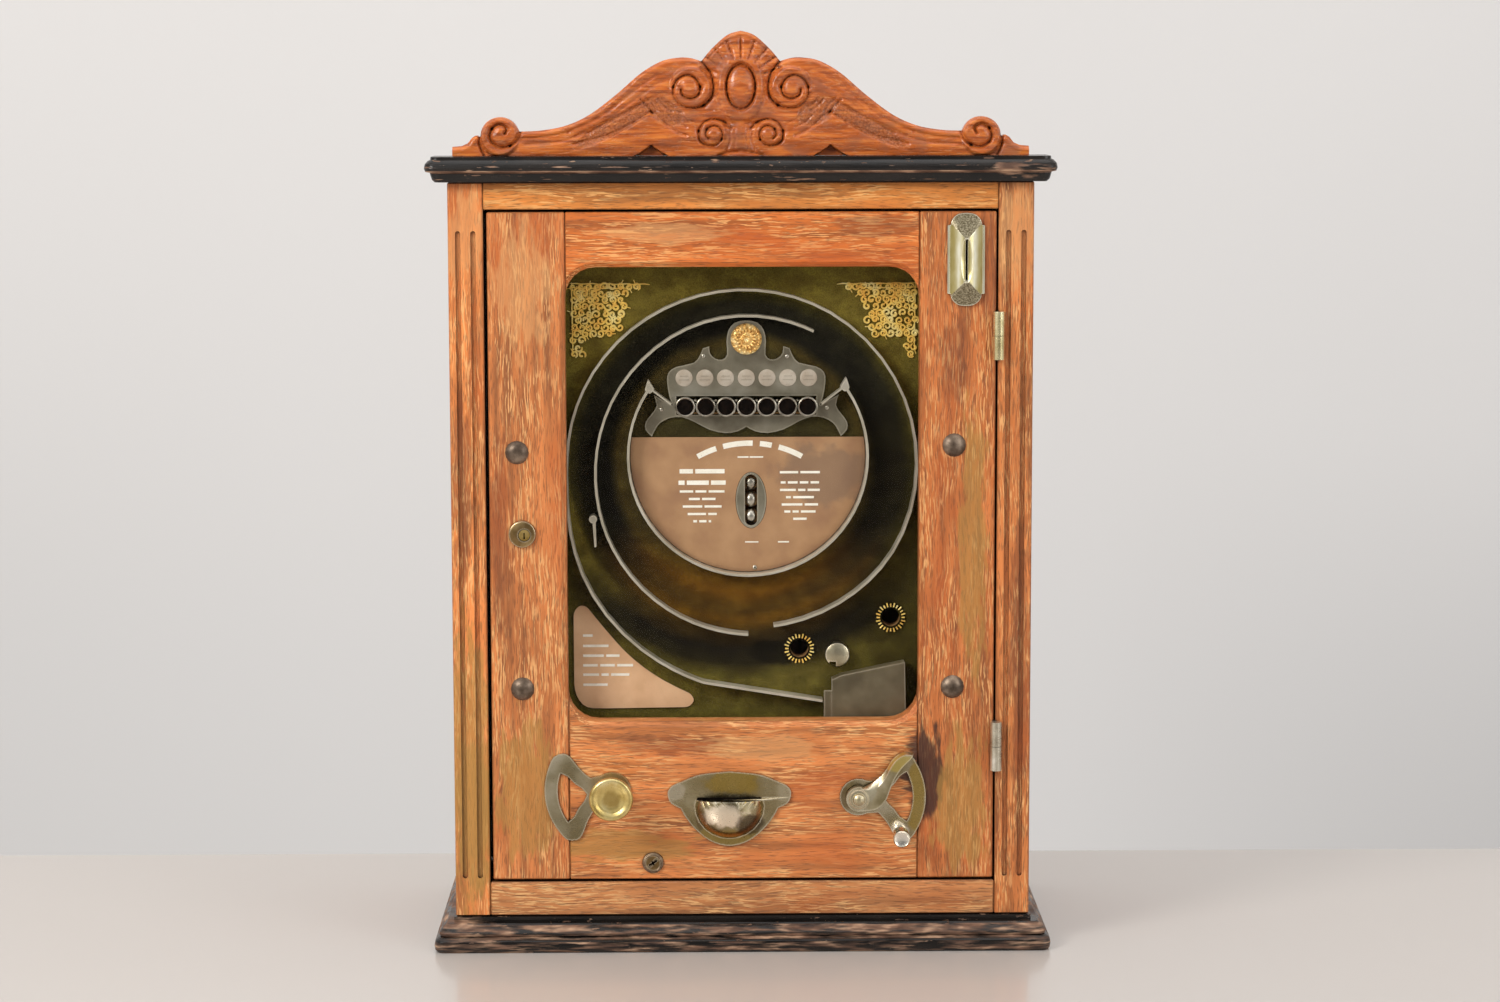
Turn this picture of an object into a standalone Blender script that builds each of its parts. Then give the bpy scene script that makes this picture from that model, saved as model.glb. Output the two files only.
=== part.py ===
"""A penny-in-slot ball game in an oak wall cabinet, as an assembly of separate solids.

The player flicks a steel ball up a spiral track with a sprung trigger. A ball that lands in
a winning cup lets the knob push a coin out of the stack into the payout cup.

Every length below is in millimetres, and MM turns it into Blender's metres. +X is right,
+Y runs into the machine and +Z is up. The origin is the middle of the plinth's underside.
"""

import math

import bmesh
import bpy
from mathutils import Matrix, Vector

MM = 0.001
GAP = 0.3  # between pieces that touch
TURN = 2 * math.pi

# Cabinet
HALF_WIDTH = 234.5
FRONT = -100.0  # face of the door, the rails and the pilasters
BACK = 118.0
FRAME_DEPTH = 20.0
PILASTER_WIDTH = 28.1
SIDE_THICKNESS = 16.0
PANEL_THICKNESS = 9.0
PLINTH_TOP = 26.3
CORNICE_BOTTOM = 625.0
CORNICE_TOP = 645.2
CORNICE_RETURN = -62.0  # where the top moulding ends on the sides
LID_TOP = 639.5  # board behind the top moulding
PEDIMENT_TOP = 744.4
PEDIMENT_FRONT, PEDIMENT_BACK = -96.0, -80.0
PEDIMENT_RECESS = -88.0  # floor of the notches in the foot of the crest

# Door
DOOR_LEFT, DOOR_RIGHT = -203.5, 204.5
DOOR_BOTTOM, DOOR_TOP = 57.0, 601.0
DOOR_BACK = -78.0
WINDOW = (-141.7, 143.6, 186.9, 556.8)  # left, right, bottom, top
WINDOW_CORNER = 25.0
WINDOW_CHAMFER = 4.0
STILE_JOINTS = (-141.0, 143.0)
HINGE_AXIS = (206.5, -104.9)
HINGE_RADIUS = 4.6
HINGES = {"upper": (482.3, 520.9), "lower": (147.0, 187.0)}
BOLTS = {
    "left_upper": (-181.0, 408.0),
    "left_lower": (-178.2, 215.0),
    "right_upper": (171.4, 413.0),
    "right_lower": (170.9, 215.5),
}

# Playfield, in layers from the glass back to the board
GLASS_FRONT, GLASS_BACK = -77.7, -74.7
TRACK_FRONT = -74.2
BOARD_FRONT, BOARD_BACK = -60.0, -44.0
SHEET_FRONT = -62.3
BOARD = (-190.0, 176.7, 78.0, 585.0)
FRAME_OUTSIDE = (-166.0, 166.5, 80.0, 578.0)
FRAME_WALL = 12.0
TRACK_CENTRE = (0.5, 393.5)
TRACK_THICKNESS = 2.0
CUP_RING_CENTRE = (5.4, 401.0)
CUP_RING_RADIUS = 97.5
CUP_PLATE_AXIS = 4.3
CUP_PITCH = 16.6
ROSETTE = (CUP_PLATE_AXIS, 496.3)
CUP_LEVEL = 442.0
CUP_OUTER, CUP_INNER = 8.9, 7.6
BALL_RADIUS = 6.85
BALL_PITCH = 14.0
RESERVE = (8.0, 364.1)  # middle ball of the three
EXITS = {"left": (47.5, 240.9), "right": (122.7, 266.4)}
EXIT_RADIUS = 7.9
SHEET = 1.3  # thickness of the cards and stamped sheets

# Moving parts, as x and z of each spindle
TRIGGER = (94.6, 124.7)
KNOB = (-106.1, 130.9)
LOCK = (-175.6, 341.1)
LOCK_CASE = (-177.2, 341.9)
LOWER_LOCK = (-73.2, 70.6)
GATE = (-121.0, 350.1)
FINGER_POST = (128.3, 97.0)
FAN_RIM, FAN_WINDOW, FAN_HUB = 55.0, 44.5, 15.2  # radii of the guard plates
SPINDLE_RADIUS = 4.0
BORE_RADIUS = 4.4
GEAR_MODULE = 2.0
PINION_TEETH = 18
PINION_PITCH_RADIUS = GEAR_MODULE * PINION_TEETH / 2
COIN_SLOT = (180.7, 546.0, 578.2)  # x, bottom, top
COIN_SLOT_WIDTH = 2.4
COIN_TUBE = (-50.0, -15.0)
COIN_SHELF = 148.2
PAYOUT_CENTRE = -10.6


# ---------------------------------------------------------------- scene and materials


def clear_scene():
    for obj in list(bpy.data.objects):
        bpy.data.objects.remove(obj, do_unlink=True)


def new_collection(name):
    collection = bpy.data.collections.new(name)
    bpy.context.scene.collection.children.link(collection)
    return collection


def finish(name, colour, roughness, metallic=0.0, transmission=0.0):
    made = bpy.data.materials.new(name)
    made.use_nodes = True
    shader = made.node_tree.nodes["Principled BSDF"]
    shader.inputs["Base Color"].default_value = (*colour, 1.0)
    shader.inputs["Roughness"].default_value = roughness
    shader.inputs["Metallic"].default_value = metallic
    shader.inputs["Transmission Weight"].default_value = transmission
    return made


clear_scene()
PARTS = new_collection("ball_game")
CUTTERS = new_collection("cutters")
CUTTERS.hide_render = True

OAK = finish("oak", (0.46, 0.20, 0.07), 0.45)
CARVED_OAK = finish("carved_oak", (0.30, 0.10, 0.035), 0.42)
EBONISED = finish("ebonised_wood", (0.02, 0.018, 0.018), 0.38)
PINE = finish("pine", (0.42, 0.27, 0.14), 0.7)
VELVET = finish("velvet_board", (0.06, 0.06, 0.012), 0.95)
GLASS = finish("glass", (0.95, 0.97, 0.96), 0.03, transmission=1.0)
STEEL = finish("bright_steel", (0.62, 0.61, 0.58), 0.25, 1.0)
NICKEL = finish("worn_nickel", (0.38, 0.34, 0.29), 0.35, 1.0)
BRASS = finish("brass", (0.62, 0.50, 0.22), 0.3, 1.0)
BRONZE = finish("dark_bronze", (0.16, 0.09, 0.05), 0.4, 1.0)
GILT = finish("gilt_brass", (0.75, 0.50, 0.20), 0.3, 1.0)
TIN = finish("tin_sheet", (0.45, 0.45, 0.44), 0.5, 1.0)
CARD = finish("card", (0.30, 0.19, 0.12), 0.7)


# ---------------------------------------------------------------- outlines in x and z


def polar(centre, radius, degrees):
    angle = math.radians(degrees)
    return (centre[0] + radius * math.cos(angle), centre[1] + radius * math.sin(angle))


def arc(centre, radius, start, end, steps):
    """Points on a circle from the start angle to the end angle, in degrees."""
    return [
        polar(centre, radius, start + (end - start) * i / steps) for i in range(steps + 1)
    ]


def circle(centre, radius, steps=32):
    return arc(centre, radius, 0, 360, steps)[:-1]


def oval(centre, half_width, half_height, steps=32):
    return [
        (centre[0] + half_width * x, centre[1] + half_height * z)
        for x, z in circle((0, 0), 1.0, steps)
    ]


def rounded_box(left, right, bottom, top, radius, steps=6):
    corners = (
        ((right - radius, top - radius), 0),
        ((left + radius, top - radius), 90),
        ((left + radius, bottom + radius), 180),
        ((right - radius, bottom + radius), 270),
    )
    points = []
    for centre, start in corners:
        points += arc(centre, radius, start, start + 90, steps)
    return points


def polygon(points, radius=2.0, steps=3):
    """A polygon with each corner rounded; a third value on a point overrides the radius."""
    rounded = []
    for i, point in enumerate(points):
        here = Vector(point[:2])
        size = point[2] if len(point) > 2 else radius
        before = Vector(points[i - 1][:2]) - here
        after = Vector(points[(i + 1) % len(points)][:2]) - here
        reach = min(size, before.length / 2, after.length / 2)
        if reach < 0.01:
            rounded.append(tuple(here))
            continue
        start = here + before.normalized() * reach
        end = here + after.normalized() * reach
        for k in range(steps + 1):
            t = k / steps
            bend = start * (1 - t) ** 2 + here * (2 * t * (1 - t)) + end * t * t
            rounded.append(tuple(bend))
    return rounded


def flowing(points, steps=3, closed=True):
    """A smooth curve through the points; a point with a third value is a sharp corner."""
    count = len(points)
    curve = []
    for i in range(count if closed else count - 1):
        start, end = points[i], points[(i + 1) % count]
        before = start if len(start) > 2 or (i == 0 and not closed) else points[i - 1]
        beyond = (i + 2) % count
        last = not closed and i + 2 >= count
        after = end if len(end) > 2 or last else points[beyond]
        a, b, c, d = (Vector(p[:2]) for p in (before, start, end, after))
        for k in range(steps):
            t = k / steps
            curve.append(
                tuple(
                    0.5
                    * (
                        2 * b
                        + (c - a) * t
                        + (2 * a - 5 * b + 4 * c - d) * t * t
                        + (3 * b - a - 3 * c + d) * t**3
                    )
                )
            )
    if not closed:
        curve.append(tuple(points[-1][:2]))
    return curve


def mirrored(half, axis=0.0):
    """A closed outline from its left or right half, which starts and ends on the axis."""
    other = [(2 * axis - p[0], *p[1:]) for p in reversed(half[1:-1])]
    return half + other


def spiral(centre, stations, steps):
    """A path through stations of (angle, radius), with this many steps between two."""
    return [
        polar(centre, radius, angle) for angle, radius in flowing(stations, steps, False)
    ]


def fan(centre, facing):
    """Outline and hole of a guard plate: a round hub with two flared arms that a rim joins."""
    arm = ((20.5, 39.0), (25.5, 40.5), (32.0, 43.0), (38.5, 46.0), (44.5, 47.8), (50.0, 46.3))
    first = [polar(centre, radius, facing + angle) for radius, angle in arm]
    last = [polar(centre, radius, facing - angle) for radius, angle in reversed(arm)]
    rim = arc(centre, FAN_RIM, facing + 39.0, facing - 39.0, 8)
    hub = arc(centre, FAN_HUB, facing - 62.0, facing - 298.0, 14)
    outline = flowing(first + rim + last, 2, False) + hub
    side = ((37.8, 26.5), (31.0, 19.4), (24.6, 12.9))
    window = arc(centre, FAN_WINDOW, facing - 27.5, facing + 27.5, 8)
    down = [polar(centre, radius, facing + angle) for radius, angle in side]
    up = [polar(centre, radius, facing - angle) for radius, angle in reversed(side)]
    hole = window + down + [polar(centre, 20.6, facing)] + up
    return outline, hole


# ---------------------------------------------------------------- solids


def add_object(name, mesh, material, location=(0, 0, 0), rotation=(0, 0, 0)):
    obj = bpy.data.objects.new(name, mesh)
    obj.location = Vector(location) * MM
    obj.rotation_euler = rotation
    mesh.materials.clear()
    if material is None:
        CUTTERS.objects.link(obj)
        obj.hide_render = True
        obj.display_type = "WIRE"
    else:
        PARTS.objects.link(obj)
        mesh.materials.append(material)
    return obj


def from_bmesh(name, bm, material, location=(0, 0, 0), rotation=(0, 0, 0)):
    bmesh.ops.recalc_face_normals(bm, faces=bm.faces)
    bmesh.ops.scale(bm, vec=(MM, MM, MM), verts=bm.verts)
    mesh = bpy.data.meshes.new(name)
    bm.to_mesh(mesh)
    bm.free()
    return add_object(name, mesh, material, location, rotation)


def soften(obj, width, segments=2):
    bevel = obj.modifiers.new("edges", "BEVEL")
    bevel.width = width * MM
    bevel.segments = segments
    bevel.limit_method = "ANGLE"
    return obj


def box(name, x, y, z, material, edge=0.0, segments=1):
    """A board or block between two limits on each axis."""
    bm = bmesh.new()
    bmesh.ops.create_cube(bm, size=1.0)
    size = (x[1] - x[0], y[1] - y[0], z[1] - z[0])
    bmesh.ops.scale(bm, vec=size, verts=bm.verts)
    middle = [(low + high) / 2 for low, high in (x, y, z)]
    obj = from_bmesh(name, bm, material, middle)
    return soften(obj, edge, segments) if edge else obj


def rod(name, place, y, radius, material, segments=24):
    """A round bar along Y, centred on (x, z)."""
    bm = bmesh.new()
    bmesh.ops.create_cone(
        bm,
        cap_ends=True,
        segments=segments,
        radius1=radius,
        radius2=radius,
        depth=y[1] - y[0],
    )
    middle = (place[0], (y[0] + y[1]) / 2, place[1])
    obj = from_bmesh(name, bm, material, middle, (math.pi / 2, 0, 0))
    smooth(obj)
    return obj


def turned(name, profile, place, y_base, material, steps=24):
    """A turned piece facing the front: profile holds (radius, height in front of y_base),
    from its front down its outer side to its back."""
    mesh = bpy.data.meshes.new(name)
    points = [(radius * MM, 0.0, height * MM) for radius, height in profile]
    edges = [(i, i + 1) for i in range(len(points) - 1)]
    mesh.from_pydata(points, edges, [])
    place3d = (place[0], y_base, place[1])
    obj = add_object(name, mesh, material, place3d, (math.pi / 2, 0, 0))
    screw = obj.modifiers.new("turn", "SCREW")
    screw.axis = "Z"
    screw.steps = steps
    screw.render_steps = steps
    screw.use_merge_vertices = True
    screw.merge_threshold = 0.00001
    screw.use_smooth_shade = True
    return obj


def smooth(obj, angle=35.0):
    obj.data.shade_smooth()
    obj.data.set_sharp_from_angle(angle=math.radians(angle))
    return obj


def plate(name, loops, y, material):
    """A flat piece facing the front: an outline in x and z, and any holes, between two y."""
    curve = bpy.data.curves.new(name, "CURVE")
    curve.dimensions = "2D"
    curve.fill_mode = "BOTH"
    curve.extrude = (y[1] - y[0]) / 2 * MM
    for loop in loops:
        spline = curve.splines.new("POLY")
        spline.points.add(len(loop) - 1)
        for point, (x, z) in zip(spline.points, loop):
            point.co = (x * MM, z * MM, 0.0, 1.0)
        spline.use_cyclic_u = True
    drawn = bpy.data.objects.new(name + "_drawn", curve)
    CUTTERS.objects.link(drawn)
    graph = bpy.context.evaluated_depsgraph_get()
    mesh = bpy.data.meshes.new_from_object(drawn.evaluated_get(graph))
    bpy.data.objects.remove(drawn, do_unlink=True)
    bm = bmesh.new()
    bm.from_mesh(mesh)
    bmesh.ops.remove_doubles(bm, verts=bm.verts, dist=0.000001)
    bmesh.ops.recalc_face_normals(bm, faces=bm.faces)
    bm.to_mesh(mesh)
    bm.free()
    return add_object(
        name, mesh, material, (0, (y[0] + y[1]) / 2, 0), (math.pi / 2, 0, 0)
    )


def loft(name, rings, material, closed=False):
    """Bridges rings of equal length in order; the ends are capped unless it closes."""
    bm = bmesh.new()
    rows = [[bm.verts.new(point) for point in ring] for ring in rings]
    pairs = list(zip(rows, rows[1:] + rows[:1])) if closed else zip(rows, rows[1:])
    for low, high in pairs:
        for i in range(len(low)):
            j = (i + 1) % len(low)
            bm.faces.new((low[i], low[j], high[j], high[i]))
    if not closed:
        bm.faces.new(rows[0])
        bm.faces.new(rows[-1])
    return from_bmesh(name, bm, material)


def strip(name, path, y, thickness, material):
    """A bent strip of sheet standing on edge along a path in x and z."""
    rings = []
    for i, (x, z) in enumerate(path):
        before, after = path[max(i - 1, 0)], path[min(i + 1, len(path) - 1)]
        along = Vector((after[0] - before[0], after[1] - before[1])).normalized()
        across = Vector((-along.y, along.x)) * thickness / 2
        rings.append(
            [
                (x + across.x, y[0], z + across.y),
                (x + across.x, y[1], z + across.y),
                (x - across.x, y[1], z - across.y),
                (x - across.x, y[0], z - across.y),
            ]
        )
    return loft(name, rings, material)


def tube_box(name, x, y, z, wall, material):
    """A square-cut duct that is open at both ends along Z."""
    outer = box(name, x, y, z, material)
    inside = [(x[0] + wall, x[1] - wall), (y[0] + wall, y[1] - wall)]
    cut(outer, box(name + "_bore", *inside, (z[0] - 5, z[1] + 5), None))
    return outer


def combine(obj, others, operation):
    for other in others:
        boolean = obj.modifiers.new(other.name, "BOOLEAN")
        boolean.operation = operation
        boolean.object = other
        boolean.solver = "EXACT"
    return obj


def cut(obj, *others):
    return combine(obj, others, "DIFFERENCE")


def join(obj, *others):
    return combine(obj, others, "UNION")


# ---------------------------------------------------------------- cabinet


def level(half_width, front, z, corner, back=BACK, steps=4):
    """A level section of a moulding that runs round the front and both sides."""
    left = arc((-half_width + corner, front + corner), corner, 180, 270, steps)
    right = arc((half_width - corner, front + corner), corner, 270, 360, steps)
    points = [(-half_width, back), *left, *right, (half_width, back)]
    return [(x, y, z) for x, y in points]


def moulding(name, sections, material, forward=1.0, back=BACK):
    """Sections of (reach beyond the sides, height); the front reaches out forward times as far."""
    rings = [
        level(HALF_WIDTH + reach, FRONT - reach * forward, z, 2.0 + reach * 0.35, back)
        for reach, z in sections
    ]
    return smooth(loft(name, rings, material), 40)


def make_plinth():
    sections = (
        (15.0, 0.0),
        (16.5, 2.0),
        (17.0, 6.0),
        (16.3, 9.5),
        (14.0, 12.0),
        (12.2, 12.6),
        (13.0, 13.4),
        (13.2, 15.5),
        (11.5, 18.5),
        (8.5, 20.6),
        (7.0, 22.3),
        (1.8, 22.3),
        (1.8, PLINTH_TOP),
    )
    moulding("plinth", sections, EBONISED, 1.18)


def make_cornice():
    """A moulding with short returns on the sides, and the lower lid board behind it."""
    sections = (
        (9.5, CORNICE_BOTTOM),
        (11.5, 627.0),
        (12.6, 630.5),
        (13.0, 632.6),
        (16.5, 633.4),
        (17.5, 636.0),
        (16.8, 639.5),
        (14.6, 642.0),
        (12.6, 643.0),
        (12.4, CORNICE_TOP),
    )
    cornice = moulding("cornice", sections, EBONISED, back=CORNICE_RETURN)
    x = (-HALF_WIDTH, HALF_WIDTH)
    y = (CORNICE_RETURN - 10.0, BACK)
    join(cornice, box("lid", x, y, (CORNICE_BOTTOM, LID_TOP), None))


def pediment_half():
    """Right half of the carved crest, from its peak down to the middle of its base."""
    base = CORNICE_TOP + GAP
    shell_and_scroll = [
        (0.0, PEDIMENT_TOP, 1),
        (10.9, 740.8),
        (23.4, 729.8),
        (31.3, 720.3, 1),
        (40.0, 722.8),
        (49.0, 723.2),
        (63.0, 720.4),
        (80.0, 710.6),
        (100.0, 693.5),
        (121.0, 678.0),
        (140.0, 669.4),
        (160.0, 665.6),
        (178.0, 664.8, 1),
    ]
    end_scroll = arc((192.3, 661.0), 15.3, 160, -2, 12)
    step_block = [
        (208.2, 660.6),
        (211.2, 662.0),
        (214.5, 660.0),
        (218.0, 655.6),
        (223.0, 653.4),
        (230.2, 652.8),
        (230.2, base),
    ]
    arch = [(10.0, base), (0.0, base + 3.0)]
    return flowing(shell_and_scroll, 4, False) + end_scroll + step_block + arch


def make_pediment():
    y = (PEDIMENT_FRONT, PEDIMENT_BACK)
    pediment = plate("pediment", [mirrored(pediment_half())], y, CARVED_OAK)
    scrolls = {"upper": (39.3, 699.5, 15.6), "end": (192.3, 661.0, 14.8)}
    scrolls["small"] = (22.6, 663.4, 10.6)
    for label, (x, z, radius) in scrolls.items():
        for side in (-1, 1):
            boss = rod(
                f"{label}_scroll_{side}", (side * x, z), (-101.0, -90.0), radius, None
            )
            join(pediment, boss)
    boss = plate(
        "cabochon", [oval((0.0, 700.3), 11.8, 17.0, 24)], (-102.0, -90.0), None
    )
    join(pediment, boss)
    foot = CORNICE_TOP - 5.0
    for side in (-1, 1):
        notch = [(side * 92.5, foot), (side * 71.6, 654.3), (side * 51.0, foot)]
        rings = [
            [(x, y, z) for x, z in notch] for y in (PEDIMENT_FRONT - 4.0, PEDIMENT_RECESS)
        ]
        cut(pediment, loft(f"notch_{side}", rings, None))


def make_sides():
    top = CORNICE_BOTTOM - GAP
    bottom = PLINTH_TOP + GAP
    for side, name in ((-1, "side_panel_left"), (1, "side_panel_right")):
        x = sorted((side * HALF_WIDTH, side * (HALF_WIDTH - SIDE_THICKNESS)))
        y = (FRONT + FRAME_DEPTH + GAP, BACK)
        box(name, x, y, (bottom, top), OAK, 1.0)
    inside = HALF_WIDTH - SIDE_THICKNESS - GAP
    y = (BACK - 1 - PANEL_THICKNESS, BACK - 1)
    box("back_panel", (-inside, inside), y, (bottom, top), PINE, 0.8)


def make_pilasters():
    """Front uprights with two stopped flutes each."""
    inner = {
        "left": (-HALF_WIDTH, -HALF_WIDTH + PILASTER_WIDTH),
        "right": (206.2, HALF_WIDTH),
    }
    for side, x in inner.items():
        z = (PLINTH_TOP + GAP, CORNICE_BOTTOM - GAP)
        upright = box(
            f"pilaster_{side}", x, (FRONT, FRONT + FRAME_DEPTH), z, OAK, 1.0
        )
        middle = (x[0] + x[1]) / 2
        for offset in (-6.1, 6.1):
            groove = rounded_box(
                middle + offset - 2.1, middle + offset + 2.1, 58.0, 586.0, 2.05, 3
            )
            name = f"flute_{side}_{offset}"
            cut(upright, plate(name, [groove], (FRONT - 3, FRONT + 2.2), None))


def make_frame_rails():
    x = (-HALF_WIDTH + PILASTER_WIDTH + GAP, 206.2 - GAP)
    y = (FRONT, FRONT + FRAME_DEPTH)
    box("frame_rail_top", x, y, (603.0, CORNICE_BOTTOM - GAP), OAK, 0.8)
    box("frame_rail_bottom", x, y, (PLINTH_TOP + GAP, 54.8), OAK, 1.2)


def make_hinges():
    """Lift-off hinges: the door's knuckle drops on the frame leaf's pin."""
    stile = bpy.data.objects["door_stile_right"]
    upright = bpy.data.objects["pilaster_right"]
    for label, (bottom, top) in HINGES.items():
        metal = BRASS if label == "upper" else NICKEL
        middle = (bottom + top) / 2
        halves = {
            "frame": (bottom, middle - GAP, 205.7, 207.0, upright),
            "door": (middle, top, 203.7, 205.0, stile),
        }
        for part, (low, high, left, right, wood) in halves.items():
            name = f"hinge_leaf_{part}_{label}"
            leaf = box(name, (left, right), (-99.7, -83.3), (bottom, top), metal)
            tab = box(name + "_tab", (left, right), (-102.5, -99.0), (low, high), None)
            pocket = box(
                name + "_pocket",
                (left - GAP, right + GAP),
                (-101.0, -83.0),
                (bottom - GAP, top + GAP),
                None,
            )
            join(leaf, tab, upright_rod(name + "_knuckle", low, high, HINGE_RADIUS))
            cut(wood, pocket)
            if part == "frame":
                join(leaf, upright_rod(name + "_pin", middle - 2, top - 2, 2.0, 12))
            else:
                bore = upright_rod(name + "_bore", middle - 2, top - 1.5, 2.4, 12)
                cut(leaf, bore)


def upright_rod(name, low, high, radius, segments=16):
    """A vertical bar on the hinge axis, for a knuckle, a pin or a bore."""
    bm = bmesh.new()
    bmesh.ops.create_cone(
        bm,
        cap_ends=True,
        segments=segments,
        radius1=radius,
        radius2=radius,
        depth=high - low,
    )
    return from_bmesh(name, bm, None, (*HINGE_AXIS, (low + high) / 2))


def make_cash_box():
    """An open tin that catches the coins under the chute."""
    x, y, z = (96.0, 212.0), (-68.0, 58.0), (PLINTH_TOP + 0.6, 66.0)
    tin = box("cash_box", x, y, z, TIN)
    wall = 1.2
    inside = ((x[0] + wall, x[1] - wall), (y[0] + wall, y[1] - wall))
    cut(tin, box("cash_box_inside", *inside, (z[0] + wall, z[1] + 5), None))


# ---------------------------------------------------------------- door


def window_cutter():
    """The window's prism, which flares at the front to chamfer the opening's edge."""
    left, right, bottom, top = WINDOW
    sections = (
        (WINDOW_CHAMFER + 1.0, FRONT - 1.0),
        (0.0, FRONT + WINDOW_CHAMFER),
        (0.0, DOOR_BACK + 1.0),
    )
    rings = []
    for reach, y in sections:
        outline = rounded_box(
            left - reach,
            right + reach,
            bottom - reach,
            top + reach,
            WINDOW_CORNER + reach,
        )
        rings.append([(x, y, z) for x, z in outline])
    return loft("window_cutter", rings, None)


def bore(name, place, radius, y=(FRONT - 5, DOOR_BACK + 5), segments=20):
    return rod(name, place, y, radius, None, segments)


def make_door_woodwork():
    window = window_cutter()
    y = (FRONT, DOOR_BACK)
    height = (DOOR_BOTTOM, DOOR_TOP)
    left, right = STILE_JOINTS
    corner_room = WINDOW_CORNER + 1.0
    stile_left = box("door_stile_left", (DOOR_LEFT, left), y, height, OAK, 1.0)
    stile_right = box("door_stile_right", (right, DOOR_RIGHT), y, height, OAK, 1.0)
    rail_x = (left + GAP, right - GAP)
    top_z = (WINDOW[3] - corner_room, DOOR_TOP)
    bottom_z = (DOOR_BOTTOM, WINDOW[2] + corner_room)
    rail_top = box("door_rail_top", rail_x, y, top_z, OAK, 0.8)
    rail_bottom = box("door_rail_bottom", rail_x, y, bottom_z, OAK, 0.8)
    for piece in (stile_left, stile_right, rail_top, rail_bottom):
        cut(piece, window)
    for label, place in BOLTS.items():
        stile = stile_left if "left" in label else stile_right
        cut(stile, bore(f"bolt_bore_{label}", place, 2.9, segments=12))
    cut(stile_left, bore("lock_bore", LOCK_CASE, 8.4))
    cut(rail_bottom, bore("trigger_bore", TRIGGER, BORE_RADIUS))
    cut(rail_bottom, bore("knob_bore", KNOB, BORE_RADIUS))
    cut(rail_bottom, bore("lower_lock_bore", LOWER_LOCK, 5.3))
    mouth_x = (PAYOUT_CENTRE - 22.9, PAYOUT_CENTRE + 22.4)
    mouth = box("payout_mouth_cutter", mouth_x, (-105.0, -70.0), (97.4, 123.1), None)
    cut(rail_bottom, mouth)
    x, low, high = COIN_SLOT
    half = COIN_SLOT_WIDTH / 2 + GAP
    slot = box(
        "coin_slot_cutter", (x - half, x + half), (-105.0, -70.0), (low, high), None
    )
    cut(stile_right, slot)


def make_glass():
    box("window_glass", (-151.0, 152.0), (GLASS_FRONT, GLASS_BACK), (178.0, 564.0), GLASS)


def make_bolts():
    """Domed coach bolts that clamp the playfield to the door."""
    for label, place in BOLTS.items():
        profile = [(0.0, 4.6)]
        profile += [(x, z) for x, z in arc((0.0, -7.4), 12.0, 66, 38, 4)]
        profile += [
            (9.5, 0.0),
            (2.5, 0.0),
            (2.5, -57.5),
            (5.0, -57.5),
            (5.0, -62.0),
            (0.0, -62.0),
        ]
        turned(f"coach_bolt_{label}", profile, place, FRONT - GAP, BRONZE, 16)
        hole = rod(f"board_bolt_hole_{label}", place, (-62.0, -42.0), 2.9, None, 12)
        cut(bpy.data.objects["playfield_board"], hole)


def coin_plate_outline():
    """Straight sides between two shoulders, with a domed end above and below."""
    left, right, low, high = 165.2, 195.0, 535.0, 590.0
    middle = (left + right) / 2
    top = arc((middle, high - 2.0), 11.6, 15, 165, 8)
    bottom = arc((middle, low + 2.0), 11.6, 195, 345, 8)
    return [(right, low), (right, high), *top, (left, high), (left, low), *bottom]


def make_coin_plate():
    """A faceted boss whose four slopes rise to a ridge along the coin slot."""
    outline = coin_plate_outline()
    face = plate("coin_plate", [outline], (FRONT - 2.3, FRONT - GAP), BRASS)
    x, low, high = COIN_SLOT
    bm = bmesh.new()
    inset = [
        (180.1 + (px - 180.1) * 0.97, 562.5 + (pz - 562.5) * 0.98)
        for px, pz in outline
    ]
    for px, pz in inset:
        bm.verts.new((px, FRONT - 1.0, pz))
    for z in (low - 2.5, high + 2.5):
        bm.verts.new((x - 1.9, FRONT - 10.0, z))
        bm.verts.new((x + 1.9, FRONT - 10.0, z))
    hull = bmesh.ops.convex_hull(bm, input=bm.verts)
    bmesh.ops.delete(bm, geom=hull["geom_interior"], context="VERTS")
    join(face, from_bmesh("coin_plate_roof", bm, None))
    half = COIN_SLOT_WIDTH / 2
    slot = box(
        "coin_plate_slot", (x - half, x + half), (-115.0, -95.0), (low, high), None
    )
    flare = []
    for reach, y in ((4.2, FRONT - 13.0), (0.4, FRONT - 3.5)):
        lens = arc((x, (low + high) / 2), 1.0, 0, 360, 16)[:-1]
        middle = (low + high) / 2
        flare.append(
            [(x + (px - x) * reach, y, middle + (pz - middle) * 17.2) for px, pz in lens]
        )
    cut(face, slot, loft("coin_plate_flare", flare, None))


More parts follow.
